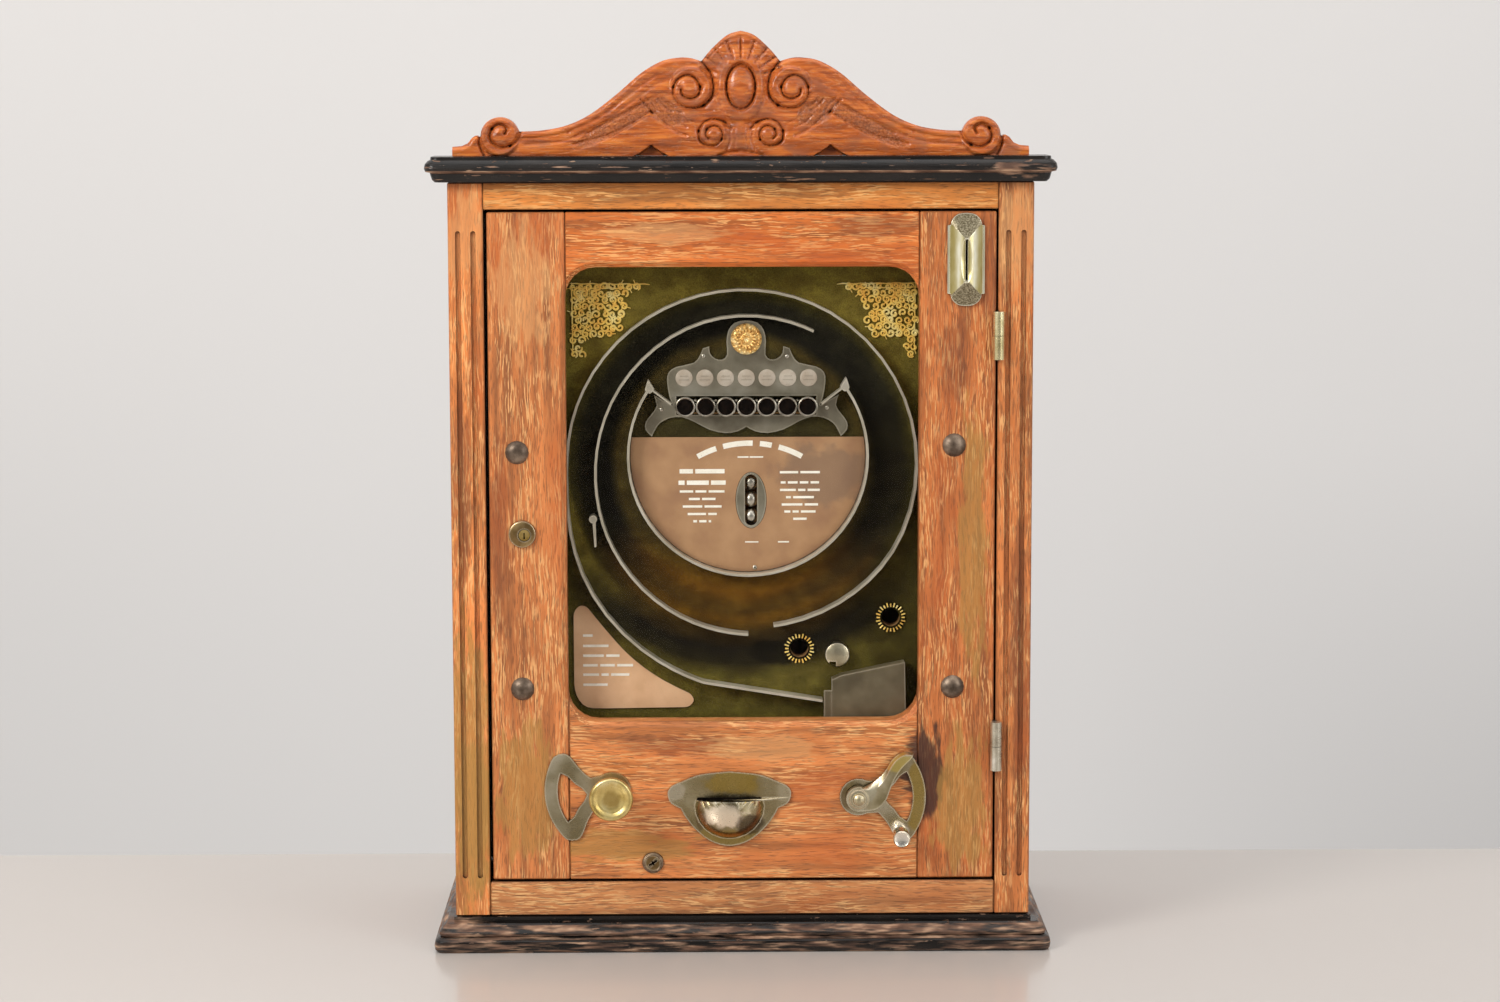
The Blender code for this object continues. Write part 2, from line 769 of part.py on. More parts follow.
def make_payout_cup():
    """A plate with two ears, a half-round bowl below its mouth and a spout through the rail."""
    x = PAYOUT_CENTRE
    half = [
        (x, 146.4, 1),
        (x - 19.5, 144.6),
        (x - 29.5, 142.1),
        (x - 39.5, 137.8),
        (x - 46.5, 134.8),
        (x - 50.0, 130.2),
        (x - 49.8, 125.0),
        (x - 47.2, 119.8),
        (x - 39.6, 116.0, 1),
        (x - 37.2, 111.0),
        (x - 31.5, 102.8),
        (x - 25.0, 95.8),
        (x - 17.0, 89.6),
        (x - 8.0, 85.8),
        (x, 84.6, 1),
    ]
    outline = flowing(mirrored(half, x), 2)
    mouth = rounded_box(x - 21.0, x + 21.0, 99.0, 120.5, 6.0, 3)
    cup = plate("payout_cup", [outline, mouth], (FRONT - 2.3, FRONT - GAP), NICKEL)
    outer = bowl("bowl", 28.4, 27.0, 19.6)
    rear = box("bowl_rear", (x - 40, x + 40), (-101.5, -70.0), (80.0, 160.0), None)
    cut(outer, bowl_lid("bowl_lid"), rear)
    join(cup, outer)
    inner = bowl("bowl_inside", 26.6, 25.2, 17.9)
    cut(inner, bowl_lid("bowl_inside_lid"))
    cut(cup, inner)
    spout = tube_y("spout", (x - 22.5, x + 22.0), (-101.5, BOARD_FRONT - 0.6), (98.0, 122.5))
    join(cup, spout)


def bowl(name, half_width, half_height, depth):
    bm = bmesh.new()
    bmesh.ops.create_uvsphere(bm, u_segments=24, v_segments=12, radius=1.0)
    bmesh.ops.scale(bm, vec=(half_width, depth, half_height), verts=bm.verts)
    return from_bmesh(name, bm, None, (PAYOUT_CENTRE, FRONT - 1.3, 118.2))


def bowl_lid(name):
    """What is above the bowl's rim, which rises a little towards the player."""
    side = ((-130.0, 125.6), (-102.0, 122.8), (-70.0, 122.8), (-70.0, 160.0), (-130.0, 160.0))
    rings = [[(PAYOUT_CENTRE + reach, y, z) for y, z in side] for reach in (-40.0, 40.0)]
    return loft(name, rings, None)


def tube_y(name, x, y, z, wall=1.5):
    """A square duct along Y, as a plate with a rectangular hole."""
    outer = [(x[0], z[0]), (x[1], z[0]), (x[1], z[1]), (x[0], z[1])]
    inner = [
        (x[0] + wall, z[0] + wall),
        (x[1] - wall, z[0] + wall),
        (x[1] - wall, z[1] - wall),
        (x[0] + wall, z[1] - wall),
    ]
    return plate(name, [outer, inner], y, None)


def make_guard_plates():
    """The fan-shaped plates under the knob and under the trigger."""
    y = (FRONT - 2.0, FRONT - GAP)
    outline, hole = fan(KNOB, 188.3)
    plate("knob_plate", [outline, hole, circle(KNOB, BORE_RADIUS, 20)], y, NICKEL)
    outline, hole = fan(TRIGGER, 0.5)
    trigger_plate = plate(
        "trigger_plate", [outline, hole, circle(TRIGGER, BORE_RADIUS, 20)], y, NICKEL
    )
    post = [
        (0.0, 34.6),
        (4.6, 34.8),
        (6.0, 35.6),
        (6.8, 34.6),
        (6.8, 28.4),
        (5.6, 26.6),
        (6.6, 24.6),
        (6.6, 17.6),
        (4.4, 14.6),
        (4.0, 3.0),
        (5.2, 0.0),
        (0.0, 0.0),
    ]
    join(trigger_plate, turned("post", post, FINGER_POST, FRONT - 1.5, None))


def make_lock_body():
    profile = [
        (0.0, 3.2),
        (9.4, 3.2),
        (10.6, 2.6),
        (11.0, 1.4),
        (11.0, 0.0),
        (8.0, 0.0),
        (8.0, -23.0),
        (0.0, -23.0),
    ]
    body = turned("lock_body", profile, LOCK_CASE, FRONT - GAP, BRASS, 24)
    cut(body, rod("lock_plug_bore", LOCK, (-110.0, -70.0), 5.0, None))


# ---------------------------------------------------------------- playfield


def make_playfield_frame():
    """The open frame that spaces the board from the door and closes its edges."""
    left, right, bottom, top = FRAME_OUTSIDE
    outer = [(left, bottom), (right, bottom), (right, top), (left, top)]
    wall = FRAME_WALL
    inner = [
        (left + wall, bottom + wall),
        (right - wall, bottom + wall),
        (right - wall, top - wall),
        (left + wall, top - wall),
    ]
    y = (GLASS_FRONT, BOARD_FRONT - GAP)
    plate("playfield_frame", [outer, inner], y, PINE)


def make_board():
    left, right, bottom, top = BOARD
    y = (BOARD_FRONT, BOARD_BACK)
    board = box("playfield_board", (left, right), y, (bottom, top), VELVET, 0.8)
    through = (BOARD_FRONT - 3, BOARD_BACK + 3)
    for name, place, radius in (
        ("board_knob_bore", KNOB, BORE_RADIUS),
        ("board_trigger_bore", TRIGGER, BORE_RADIUS),
        ("board_exit_left", EXITS["left"], EXIT_RADIUS - 0.4),
        ("board_exit_right", EXITS["right"], EXIT_RADIUS - 0.4),
    ):
        cut(board, rod(name, place, through, radius, None))
    cut(board, box("board_payout", (-33.0, 11.0), through, (97.0, 143.0), None))
    cups = CUP_PITCH * 3.5 - 1.5
    cup_x = (CUP_PLATE_AXIS - cups, CUP_PLATE_AXIS + cups)
    cut(board, box("board_cups", cup_x, through, (435.0, 448.5), None))
    slot = rounded_box(RESERVE[0] - 7.2, RESERVE[0] + 7.2, 329.0, 386.0, 7.1, 5)
    cut(board, plate("board_reserve_slot", [slot], (BOARD_FRONT - 3, -45.8), None))


def make_tracks():
    """Steel strips on edge: the ball runs between them and drops to the cups."""
    y = (TRACK_FRONT, BOARD_FRONT - GAP)
    outer = (
        (-79.0, 134.3),
        (-55.0, 138.0),
        (-30.0, 142.0),
        (0.0, 142.6),
        (30.0, 143.3),
        (60.0, 144.0),
        (85.0, 143.6),
        (110.0, 142.8),
        (135.0, 142.7),
        (160.0, 142.8),
        (182.0, 142.9),
        (196.0, 147.4),
        (221.0, 161.7),
        (247.0, 174.9),
        (260.0, 181.4),
    )
    path = [*spiral(TRACK_CENTRE, outer, 4), (66.2, 199.3)]
    strip("outer_track", path, y, TRACK_THICKNESS, STEEL)
    middle = (
        (62.0, 124.2),
        (98.0, 121.7),
        (140.0, 118.1),
        (180.0, 119.2),
        (213.0, 125.4),
        (248.0, 133.9),
        (272.0, 139.0),
    )
    strip("middle_track", spiral(TRACK_CENTRE, middle, 6), y, TRACK_THICKNESS, STEEL)


def make_cup_ring():
    """The innermost strip, with a sloped deflector that leads from each end to the cups."""
    path = arc(CUP_RING_CENTRE, CUP_RING_RADIUS, 147, 394, 44)
    y = (TRACK_FRONT, BOARD_FRONT - GAP)
    ring = strip("cup_ring", path, y, TRACK_THICKNESS, STEEL)
    front = (TRACK_FRONT, SHEET_FRONT - GAP)
    for side, end in ((-1, path[0]), (1, path[-1])):
        head = (end[0] + side * -1.6, end[1] + 3.4)
        foot = (CUP_PLATE_AXIS + side * 61.2, 444.0)
        knot = polygon(
            [
                (head[0] - side * 4.5, head[1] - 1.5),
                (head[0] + side * 0.8, head[1] + 7.0),
                (head[0] + side * 3.6, head[1] - 2.0),
                (head[0] - side * 0.4, head[1] - 5.0),
            ],
            1.4,
            2,
        )
        join(
            ring,
            plate(f"deflector_knot_{side}", [knot], front, None),
            strip(f"deflector_{side}", [head, foot], front, 1.3, None),
        )


def make_cup_plate():
    """The ornamental sheet that carries the labels above the row of cups."""
    half = [
        (CUP_PLATE_AXIS, 511.3),
        (-5.0, 509.4),
        (-10.2, 503.0),
        (-11.7, 493.9),
        (-11.3, 483.5),
        (-15.4, 479.4),
        (-21.0, 480.3),
        (-25.2, 484.6),
        (-25.8, 490.2, 1),
        (-31.0, 488.7, 1),
        (-33.6, 482.6),
        (-38.5, 476.8),
        (-52.5, 473.6),
        (-59.0, 469.0),
        (-60.2, 461.5),
        (-58.3, 449.0),
        (-55.6, 441.8, 1),
        (-71.2, 450.8, 1),
        (-68.8, 442.0),
        (-73.2, 435.0),
        (-77.8, 428.5),
        (-77.9, 422.0),
        (-72.8, 416.6, 1),
        (-70.0, 422.4),
        (-66.2, 427.6),
        (-58.5, 431.8),
        (-48.5, 432.6),
        (-38.0, 428.6),
        (-26.0, 422.3),
        (-13.0, 419.4),
        (-2.6, 420.9),
        (CUP_PLATE_AXIS, 424.6, 1),
    ]
    outline = flowing(mirrored(half, CUP_PLATE_AXIS), 2)
    reach = CUP_PITCH * 3.5 - 1.0
    left, right = CUP_PLATE_AXIS - reach, CUP_PLATE_AXIS + reach
    window = [(left, 434.2), (right, 434.2), (right, 449.8), (left, 449.8)]
    y = (SHEET_FRONT, BOARD_FRONT - GAP)
    plate("cup_plate", [outline, window], y, NICKEL)


def make_cups():
    """Seven cups side by side, open at the top."""
    centres = [CUP_PLATE_AXIS + CUP_PITCH * i for i in range(-3, 4)]
    rim = CUP_LEVEL + 6.0
    outside = [(centres[0] - CUP_OUTER, rim)]
    inside = []
    for x in centres:
        outside += arc((x, CUP_LEVEL), CUP_OUTER, 205, 335, 5)
        inside += [(x - CUP_INNER, rim)]
        inside += arc((x, CUP_LEVEL), CUP_INNER, 180, 360, 8)
        inside += [(x + CUP_INNER, rim)]
    outside.append((centres[-1] + CUP_OUTER, rim))
    outline = outside + list(reversed(inside))
    plate("cup_tubes", [outline], (TRACK_FRONT + 1.0, SHEET_FRONT - GAP), STEEL)


def make_rosette():
    """A gilt disc of petals at the head of the cup plate."""
    petals = []
    for i in range(32):
        radius = 12.9 if i % 2 else 11.9
        petals.append(polar(ROSETTE, radius, i * 11.25))
    y = SHEET_FRONT - GAP
    rosette = plate("rosette", [petals], (y - 1.2, y), GILT)
    dome = [(0.0, 5.0), (4.0, 4.6), (8.0, 3.2), (10.6, 1.2), (10.8, 0.0), (0.0, 0.0)]
    join(rosette, turned("rosette_dome", dome, ROSETTE, y - 0.6, None, 20))


def make_instruction_plate():
    """The lower part of the disc inside the cup ring, with a window on the spare balls."""
    radius = CUP_RING_RADIUS - TRACK_THICKNESS / 2 - 2 * GAP
    rise = 416.0 - CUP_RING_CENTRE[1]
    start = math.degrees(math.asin(rise / radius))
    outline = arc(CUP_RING_CENTRE, radius, 180 - start, 360 + start, 40)
    y = (BOARD_FRONT - GAP - SHEET, BOARD_FRONT - GAP)
    hole = oval(RESERVE, 12.8, 23.3, 28)
    plate("instruction_plate", [outline, hole], y, CARD)
    slot = rounded_box(RESERVE[0] - 5.0, RESERVE[0] + 5.0, 343.2, 385.2, 4.8, 4)
    plate("reserve_window", [oval(RESERVE, 12.4, 22.9, 28), slot], y, NICKEL)


def make_corner_card():
    outline = [
        (-133.0, 277.5, 3.0),
        (-138.0, 272.0, 4.0),
        (-137.8, 205.0, 8.0),
        (-130.0, 192.0, 10.0),
        (-113.0, 191.6, 6.0),
        (-43.5, 192.4, 3.5),
        (-38.6, 198.0, 3.5),
        (-42.0, 203.4, 2.0),
        (-68.1, 216.2, 30.0),
        (-92.7, 235.0, 30.0),
        (-112.2, 257.5, 30.0),
        (-127.3, 276.6, 3.0),
    ]
    y = (BOARD_FRONT - GAP - SHEET, BOARD_FRONT - GAP)
    plate("instruction_card", [polygon(outline)], y, CARD)


def make_balls():
    for i, label in enumerate(("lower", "middle", "upper")):
        bm = bmesh.new()
        bmesh.ops.create_uvsphere(bm, u_segments=16, v_segments=10, radius=BALL_RADIUS)
        z = RESERVE[1] + (i - 1) * BALL_PITCH
        smooth(from_bmesh(f"reserve_ball_{label}", bm, STEEL, (RESERVE[0], -53.0, z)))


def make_spandrels():
    """Pierced gilt corners above the track."""
    half = [
        (-138.3, 542.5, 1),
        (-105.0, 541.5),
        (-73.8, 541.1, 1),
        (-87.5, 531.6),
        (-95.6, 522.0),
        (-99.6, 500.6, 1),
        (-117.9, 497.8),
        (-132.0, 497.0),
        (-138.8, 479.0, 1),
    ]
    y = (BOARD_FRONT - GAP - SHEET, BOARD_FRONT - GAP)
    plate("spandrel_left", [flowing(half, 3)], y, GILT)
    axis = 2.2
    other = [(2 * axis - p[0], *p[1:]) for p in half]
    plate("spandrel_right", [flowing(other, 3)], y, GILT)


def make_exit_rings():
    """Toothed rings round the holes that swallow a lost ball."""
    for side, centre in EXITS.items():
        teeth = []
        for i in range(40):
            radius = 12.4 if i % 4 in (0, 1) else 11.2
            teeth.append(polar(centre, radius, i * 9.0))
        loops = [teeth, circle(centre, EXIT_RADIUS, 24)]
        y = (BOARD_FRONT - 2.0, BOARD_FRONT - GAP)
        plate(f"exit_ring_{side}", loops, y, GILT)


def make_outlet_shield():
    """A domed disc, notched where the ball rolls out to the firing point."""
    place = (78.5, 236.6)
    profile = [(0.0, 9.0), (6.0, 8.6), (9.6, 7.0), (10.4, 5.0), (10.4, 0.0), (0.0, 0.0)]
    shield = turned(
        "ball_outlet_shield", profile, place, BOARD_FRONT - GAP, NICKEL, 28
    )
    notch = box("outlet_notch", (72.0, 77.5), (-75.0, -50.0), (222.0, 231.0), None)
    cut(shield, notch)


def make_shooter_cover():
    """A sheet over the hammer's path, with a roof that sheds the balls."""
    outline = [(73.6, 180.0), (134.9, 180.0), (133.8, 231.4), (82.0, 220.7), (73.6, 217.0)]
    front = (TRACK_FRONT, TRACK_FRONT + 1.2)
    cover = plate("shooter_cover", [outline], front, NICKEL)
    roof = strip(
        "cover_roof",
        [(73.8, 216.4), (82.3, 219.9), (133.4, 230.7)],
        (TRACK_FRONT + 0.4, BOARD_FRONT - GAP),
        1.2,
        None,
    )
    hem = box("cover_hem", (67.4, 75.0), (TRACK_FRONT + 0.2, -72.4), (183.0, 208.0), None)
    join(cover, roof, hem)


# ---------------------------------------------------------------- coin works


def make_coin_chute():
    """A narrow duct behind the slot in which the coin drops on edge to the cash box."""
    x = COIN_SLOT[0]
    chute = tube_box("coin_chute", (x - 3, x + 3), (-77.6, -41.4), (84.0, 590.0), 1.5, TIN)
    entry = box("chute_entry", (x - 1.5, x + 1.5), (-80.0, -70.0), (544.0, 580.0), None)
    cut(chute, entry)
    ears = box("chute_ears", (x + 2.0, x + 16.0), (-77.6, -76.1), (560.0, 574.0), None)
    join(chute, ears)


def make_coin_tube():
    """The stack of payout coins, its shelf and the ramp that drops a coin to the cup."""
    x, y = COIN_TUBE
    bm = bmesh.new()
    bmesh.ops.create_cone(
        bm, cap_ends=True, segments=28, radius1=17.5, radius2=17.5, depth=178.7
    )
    middle = (x, y, 330.0 - 178.7 / 2)
    tube = smooth(from_bmesh("coin_tube", bm, BRASS, middle))
    bm = bmesh.new()
    bmesh.ops.create_cone(
        bm, cap_ends=True, segments=28, radius1=16.0, radius2=16.0, depth=200.0
    )
    cut(tube, from_bmesh("coin_tube_bore", bm, None, (x, y, 240.0)))
    back = 3.4
    shelf = box(
        "coin_shelf", (-80.0, -34.0), (-33.5, back), (COIN_SHELF - 2.7, COIN_SHELF), None
    )
    cheeks = [
        box(
            f"shelf_cheek_{label}",
            (x - 6.0, x + 6.0),
            limits,
            (COIN_SHELF - 2.0, 160.0),
            None,
        )
        for label, limits in (("front", (-33.0, -31.3)), ("rear", (1.3, back - 0.4)))
    ]
    support = box(
        "shelf_support", (-80.0, -34.0), (-43.4, back), (142.6, COIN_SHELF - 2.0), None
    )
    flange = box("shelf_flange", (-80.0, -34.4), (-43.6, -41.6), (112.0, 145.0), None)
    slope = [
        [
            (px, back, 148.0),
            (px, back, 144.5),
            (px, -43.6, 103.0),
            (px, -43.6, 106.0),
        ]
        for px in (-36.0, 12.0)
    ]
    ramp = loft("payout_ramp", slope, None)
    join(tube, *cheeks)
    join(tube, shelf, support, flange, ramp)


def rack_teeth(x_range, pitch_line):
    """Lower edge of the rack, teeth pointing down, from right to left."""
    pitch = math.pi * GEAR_MODULE
    tip, root = pitch_line - GEAR_MODULE + 0.3, pitch_line + 1.25 * GEAR_MODULE
    first = KNOB[0]
    count = int((x_range[1] - first) / pitch)
    points = []
    x = first + count * pitch
    while x - pitch / 2 > x_range[0]:
        points += [(x + 2.3, root), (x + 0.75, tip), (x - 0.75, tip), (x - 2.3, root)]
        x -= pitch
    return points


def make_payout_slide():
    """A rack with a blade that pushes the lowest coin off the shelf."""
    pitch_line = KNOB[1] + PINION_PITCH_RADIUS
    x = (-153.0, -66.0)
    top = 157.0
    teeth = rack_teeth((x[0], -92.0), pitch_line)
    root = pitch_line + 1.25 * GEAR_MODULE
    outline = [(x[0], top), (x[0], root), *reversed(teeth), (x[1], root), (x[1], top)]
    rings = [[(px, py, pz) for px, pz in outline] for py in (-43.0, -34.4)]
    slide = loft("payout_slide", rings, STEEL)
    blade = box(
        "payout_blade",
        (-107.0, COIN_TUBE[0] - 16.0),
        (-30.8, 0.9),
        (COIN_SHELF + GAP, COIN_SHELF + 2.2),
        None,
    )
    arm = box("payout_arm", (-106.0, -99.0), (-36.0, -28.0), (152.6, 155.6), None)
    drop = box("payout_drop", (-106.5, -98.5), (-33.8, -28.6), (149.3, 154.0), None)
    join(slide, arm, drop, blade)


def pinion_outline(centre):
    """Straight-flanked teeth; one space faces straight up at rest, under a rack tooth."""
    outer = PINION_PITCH_RADIUS + GEAR_MODULE - 0.3
    root = PINION_PITCH_RADIUS - 1.25 * GEAR_MODULE
    step = 360.0 / PINION_TEETH
    points = []
    for i in range(PINION_TEETH):
        middle = 90.0 + step * (i + 0.5)
        for radius, offset in (
            (root, -0.36),
            (outer, -0.12),
            (outer, 0.12),
            (root, 0.36),
        ):
            points.append(polar(centre, radius, middle + offset * step))
    return points


# ---------------------------------------------------------------- moving parts


def trigger_section(upper):
    """The lever's outline: a round hub and a horn between its upper and its lower edge."""
    lower = [
        (99.0, 114.8),
        (107.0, 115.6),
        (112.5, 118.8),
        (117.0, 124.2),
        (119.5, 131.0),
        (122.5, 138.6),
        (126.5, 145.8),
        (131.0, 151.8),
        (136.5, 157.0),
    ]
    hub = arc(TRIGGER, 10.2, 78, 282, 12)
    return hub + flowing(lower, 2, False) + flowing(list(reversed(upper)), 2, False)


def make_trigger():
    """The finger lever outside and the hammer inside share one spindle."""
    crown = [
        (98.5, 133.6),
        (104.5, 136.4),
        (110.0, 140.5),
        (115.0, 145.5),
        (118.7, 151.0),
        (122.0, 156.5),
        (127.0, 160.8),
        (133.0, 162.8),
        (139.2, 161.4),
    ]
    crest = [
        (98.0, 133.0),
        (104.5, 132.2),
        (109.5, 134.0),
        (113.6, 138.0),
        (117.3, 144.0),
        (120.9, 151.5),
        (126.3, 158.0),
        (132.8, 161.2),
        (138.8, 160.6),
    ]
    sections = ((crown, -104.6), (crown, -107.4), (crest, -110.6))
    rings = [[(x, y, z) for x, z in trigger_section(edge)] for edge, y in sections]
    lever = smooth(loft("trigger_lever", rings, NICKEL), 25)
    nut = [
        (0.0, 7.4),
        (2.6, 6.8),
        (4.3, 5.4),
        (4.8, 3.4),
        (5.2, 2.8),
        (7.4, 2.6),
        (8.0, 1.8),
        (8.0, 0.0),
        (0.0, 0.0),
    ]
    join(lever, turned("trigger_nut", nut, TRIGGER, -109.4, None, 20))
    hammer = rod(
        "hammer_spindle", TRIGGER, (-104.2, -47.0), SPINDLE_RADIUS, STEEL, 20
    )
    hub = rod("hammer_hub", TRIGGER, (-72.6, -63.0), 8.0, None, 20)
    x, z = TRIGGER
    arm = [(x - 4.0, z + 2.3), (x + 4.0, z + 2.3), (91.5, 198.0), (83.5, 198.0)]
    head = [(80.2, 194.0), (95.5, 194.0), (95.5, 210.0), (80.2, 212.0)]
    join(
        hammer,
        hub,
        plate("hammer_arm", [arm], (-70.5, -64.5), None),
        plate("hammer_head", [polygon(head, 2.0, 2)], (-72.4, -62.6), None),
    )


def make_trigger_spring():
    """A torsion coil round the trigger's spindle, behind the door."""
    mean, wire, turns, steps = 6.6, 0.6, 2.5, 12
    front, back = -77.0, -73.8
    points = [(TRIGGER[0] + 24.0, front, TRIGGER[1] - mean)]
    for i in range(int(turns * steps) + 1):
        angle = -math.pi / 2 + TURN * i / steps
        points.append(
            (
                TRIGGER[0] + mean * math.cos(angle),
                front + (back - front) * i / (turns * steps),
                TRIGGER[1] + mean * math.sin(angle),
            )
        )
    points.append((TRIGGER[0] - 20.0, back, TRIGGER[1] + mean))
    curve = bpy.data.curves.new("trigger_spring", "CURVE")
    curve.dimensions = "3D"
    curve.bevel_depth = wire * MM
    curve.bevel_resolution = 1
    curve.use_fill_caps = True
    spline = curve.splines.new("POLY")
    spline.points.add(len(points) - 1)
    for point, place in zip(spline.points, points):
        point.co = (*(Vector(place) * MM), 1.0)
    obj = bpy.data.objects.new("trigger_spring", curve)
    curve.materials.append(STEEL)
    PARTS.objects.link(obj)


def make_knob():
    profile = [
        (0.0, 31.4),
        (2.6, 31.2),
        (3.6, 29.8),
        (11.4, 29.6),
        (13.6, 31.6),
        (15.8, 32.0),
        (17.4, 30.6),
        (17.8, 28.4),
        (17.2, 25.6),
        (14.6, 23.4),
        (8.4, 21.0),
        (7.4, 17.0),
        (8.0, 3.0),
        (9.2, 0.0),
        (SPINDLE_RADIUS + 0.4, 0.0),
        (SPINDLE_RADIUS + 0.4, 18.0),
        (0.0, 18.0),
    ]
    turned("knob", profile, KNOB, FRONT - 5.0 - 2.4, BRASS, 28)
    spindle = rod("knob_spindle", KNOB, (-125.0, -34.0), SPINDLE_RADIUS, STEEL, 20)
    pinion = plate("pinion", [pinion_outline(KNOB)], (-42.6, -34.8), None)
    join(spindle, pinion)


def make_lock_plugs():
    """Key plugs; each turns a cam behind the cabinet's frame."""
    plug = rod("lock_plug", LOCK, (-102.6, -73.4), 4.6, BRASS, 24)
    keyway = box(
        "keyway",
        (LOCK[0] - 0.7, LOCK[0] + 0.7),
        (-110.0, -98.0),
        (LOCK[1] - 3.0, LOCK[1] + 2.0),
        None,
    )
    tongue = box(
        "lock_tongue",
        (LOCK[0] - 4.5, LOCK[0] + 4.5),
        (-76.0, -73.4),
        (LOCK[1] - 38.0, LOCK[1]),
        None,
    )
    join(plug, tongue)
    cut(plug, keyway)
    face = [
        (0.0, 2.2),
        (6.2, 2.0),
        (7.0, 1.2),
        (7.0, 0.0),
        (4.9, 0.0),
        (4.9, -26.6),
        (0.0, -26.6),
    ]
    lower = turned("lower_lock_plug", face, LOWER_LOCK, FRONT - GAP, BRASS, 24)
    x, z = LOWER_LOCK
    tongue = box(
        "lower_tongue", (x, x + 21.0), (-77.2, -74.4), (z - 4.0, z + 4.0), None
    )
    slot = box("lower_slot", (x - 5.0, x + 5.0), (-110.0, -101.4), (z - 0.8, z + 0.8), None)
    slot.rotation_euler[1] = math.radians(-45)
    join(lower, tongue)
    cut(lower, slot)


def make_gate():
    """A hanging flap that lets the ball past once."""
    flap = plate(
        "gate_flap",
        [
            polygon(
                [
                    (GATE[0] - 0.6, GATE[1]),
                    (GATE[0] + 1.0, GATE[1] - 23.0, 0.2),
                    (GATE[0] + 2.6, GATE[1] - 22.6, 0.2),
                    (GATE[0] + 2.0, GATE[1]),
                ],
                0.3,
                1,
            )
        ],
        (-73.4, -61.5),
        STEEL,
    )
    join(flap, rod("gate_head", GATE, (-73.4, -60.6), 3.3, None, 16))


# ---------------------------------------------------------------- joints


def axis_empty(name, place):
    empty = bpy.data.objects.new(name, None)
    empty.empty_display_size = 0.02
    empty.location = Vector(place) * MM
    PARTS.objects.link(empty)
    return empty


def hang(pieces, empty, place):
    """Parents pieces to an empty on their joint's axis, leaving them where they are."""
    for piece in pieces:
        piece.parent = empty
        piece.matrix_parent_inverse = Matrix.Translation(-Vector(place) * MM)


DOOR_PIECES = (
    "door_stile_left",
    "door_stile_right",
    "door_rail_top",
    "door_rail_bottom",
    "window_glass",
    "hinge_leaf_door_upper",
    "hinge_leaf_door_lower",
    "coach_bolt_left_upper",
    "coach_bolt_left_lower",
    "coach_bolt_right_upper",
    "coach_bolt_right_lower",
    "coin_plate",
    "payout_cup",
    "knob_plate",
    "trigger_plate",
    "lock_body",
    "playfield_frame",
    "playfield_board",
    "outer_track",
    "middle_track",
    "cup_ring",
    "cup_plate",
    "cup_tubes",
    "rosette",
    "instruction_plate",
    "reserve_window",
    "instruction_card",
    "spandrel_left",
    "spandrel_right",
    "exit_ring_left",
    "exit_ring_right",
    "ball_outlet_shield",
    "shooter_cover",
    "coin_chute",
    "coin_tube",
    "trigger_spring",
)


def build():
    make_plinth()
    make_cornice()
    make_pediment()
    make_sides()
    make_pilasters()
    make_frame_rails()
    make_cash_box()
    make_door_woodwork()
    make_hinges()
    make_glass()
    make_board()
    make_bolts()
    make_coin_plate()
    make_payout_cup()
    make_guard_plates()
    make_lock_body()
    make_playfield_frame()
    make_tracks()
    make_cup_ring()
    make_cup_plate()
    make_cups()
    make_rosette()
    make_instruction_plate()
    make_corner_card()
    make_balls()
    make_spandrels()
    make_exit_rings()
    make_outlet_shield()
    make_shooter_cover()
    make_coin_chute()
    make_coin_tube()
    make_payout_slide()
    make_trigger()
    make_trigger_spring()
    make_knob()
    make_lock_plugs()
    make_gate()

    moving = {
        "trigger_axis": ((TRIGGER[0], FRONT, TRIGGER[1]), ("trigger_lever", "hammer_spindle")),
        "knob_axis": ((KNOB[0], FRONT, KNOB[1]), ("knob", "knob_spindle")),
        "lock_axis": ((LOCK[0], FRONT, LOCK[1]), ("lock_plug",)),
        "lower_lock_axis": (
            (LOWER_LOCK[0], FRONT, LOWER_LOCK[1]),
            ("lower_lock_plug",),
        ),
        "gate_axis": ((GATE[0], -67.0, GATE[1]), ("gate_flap",)),
        "slide_axis": ((-109.0, -38.0, 152.0), ("payout_slide",)),
        "reserve_axis": (
            (RESERVE[0], -53.0, RESERVE[1]),
            ("reserve_ball_lower", "reserve_ball_middle", "reserve_ball_upper"),
        ),
        "door_axis": ((*HINGE_AXIS, 0.0), DOOR_PIECES),
    }
    for name, (place, pieces) in moving.items():
        empty = axis_empty(name, place)
        hang([bpy.data.objects[piece] for piece in pieces], empty, place)
    door_place = moving["door_axis"][0]
    on_door = [bpy.data.objects[name] for name in moving if name != "door_axis"]
    hang(on_door, bpy.data.objects["door_axis"], door_place)


build()
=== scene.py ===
"""Looks for a wall-mounted ball flick machine in an oak cabinet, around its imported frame.

Lengths here are in millimetres in the row frame: +X right, +Y into the machine, +Z up, with
the origin in the middle of the plinth's underside and the cabinet's face at y = -100.
"""

import math
import random

import bmesh
import bpy
import numpy as np
from mathutils import Matrix, Vector, noise


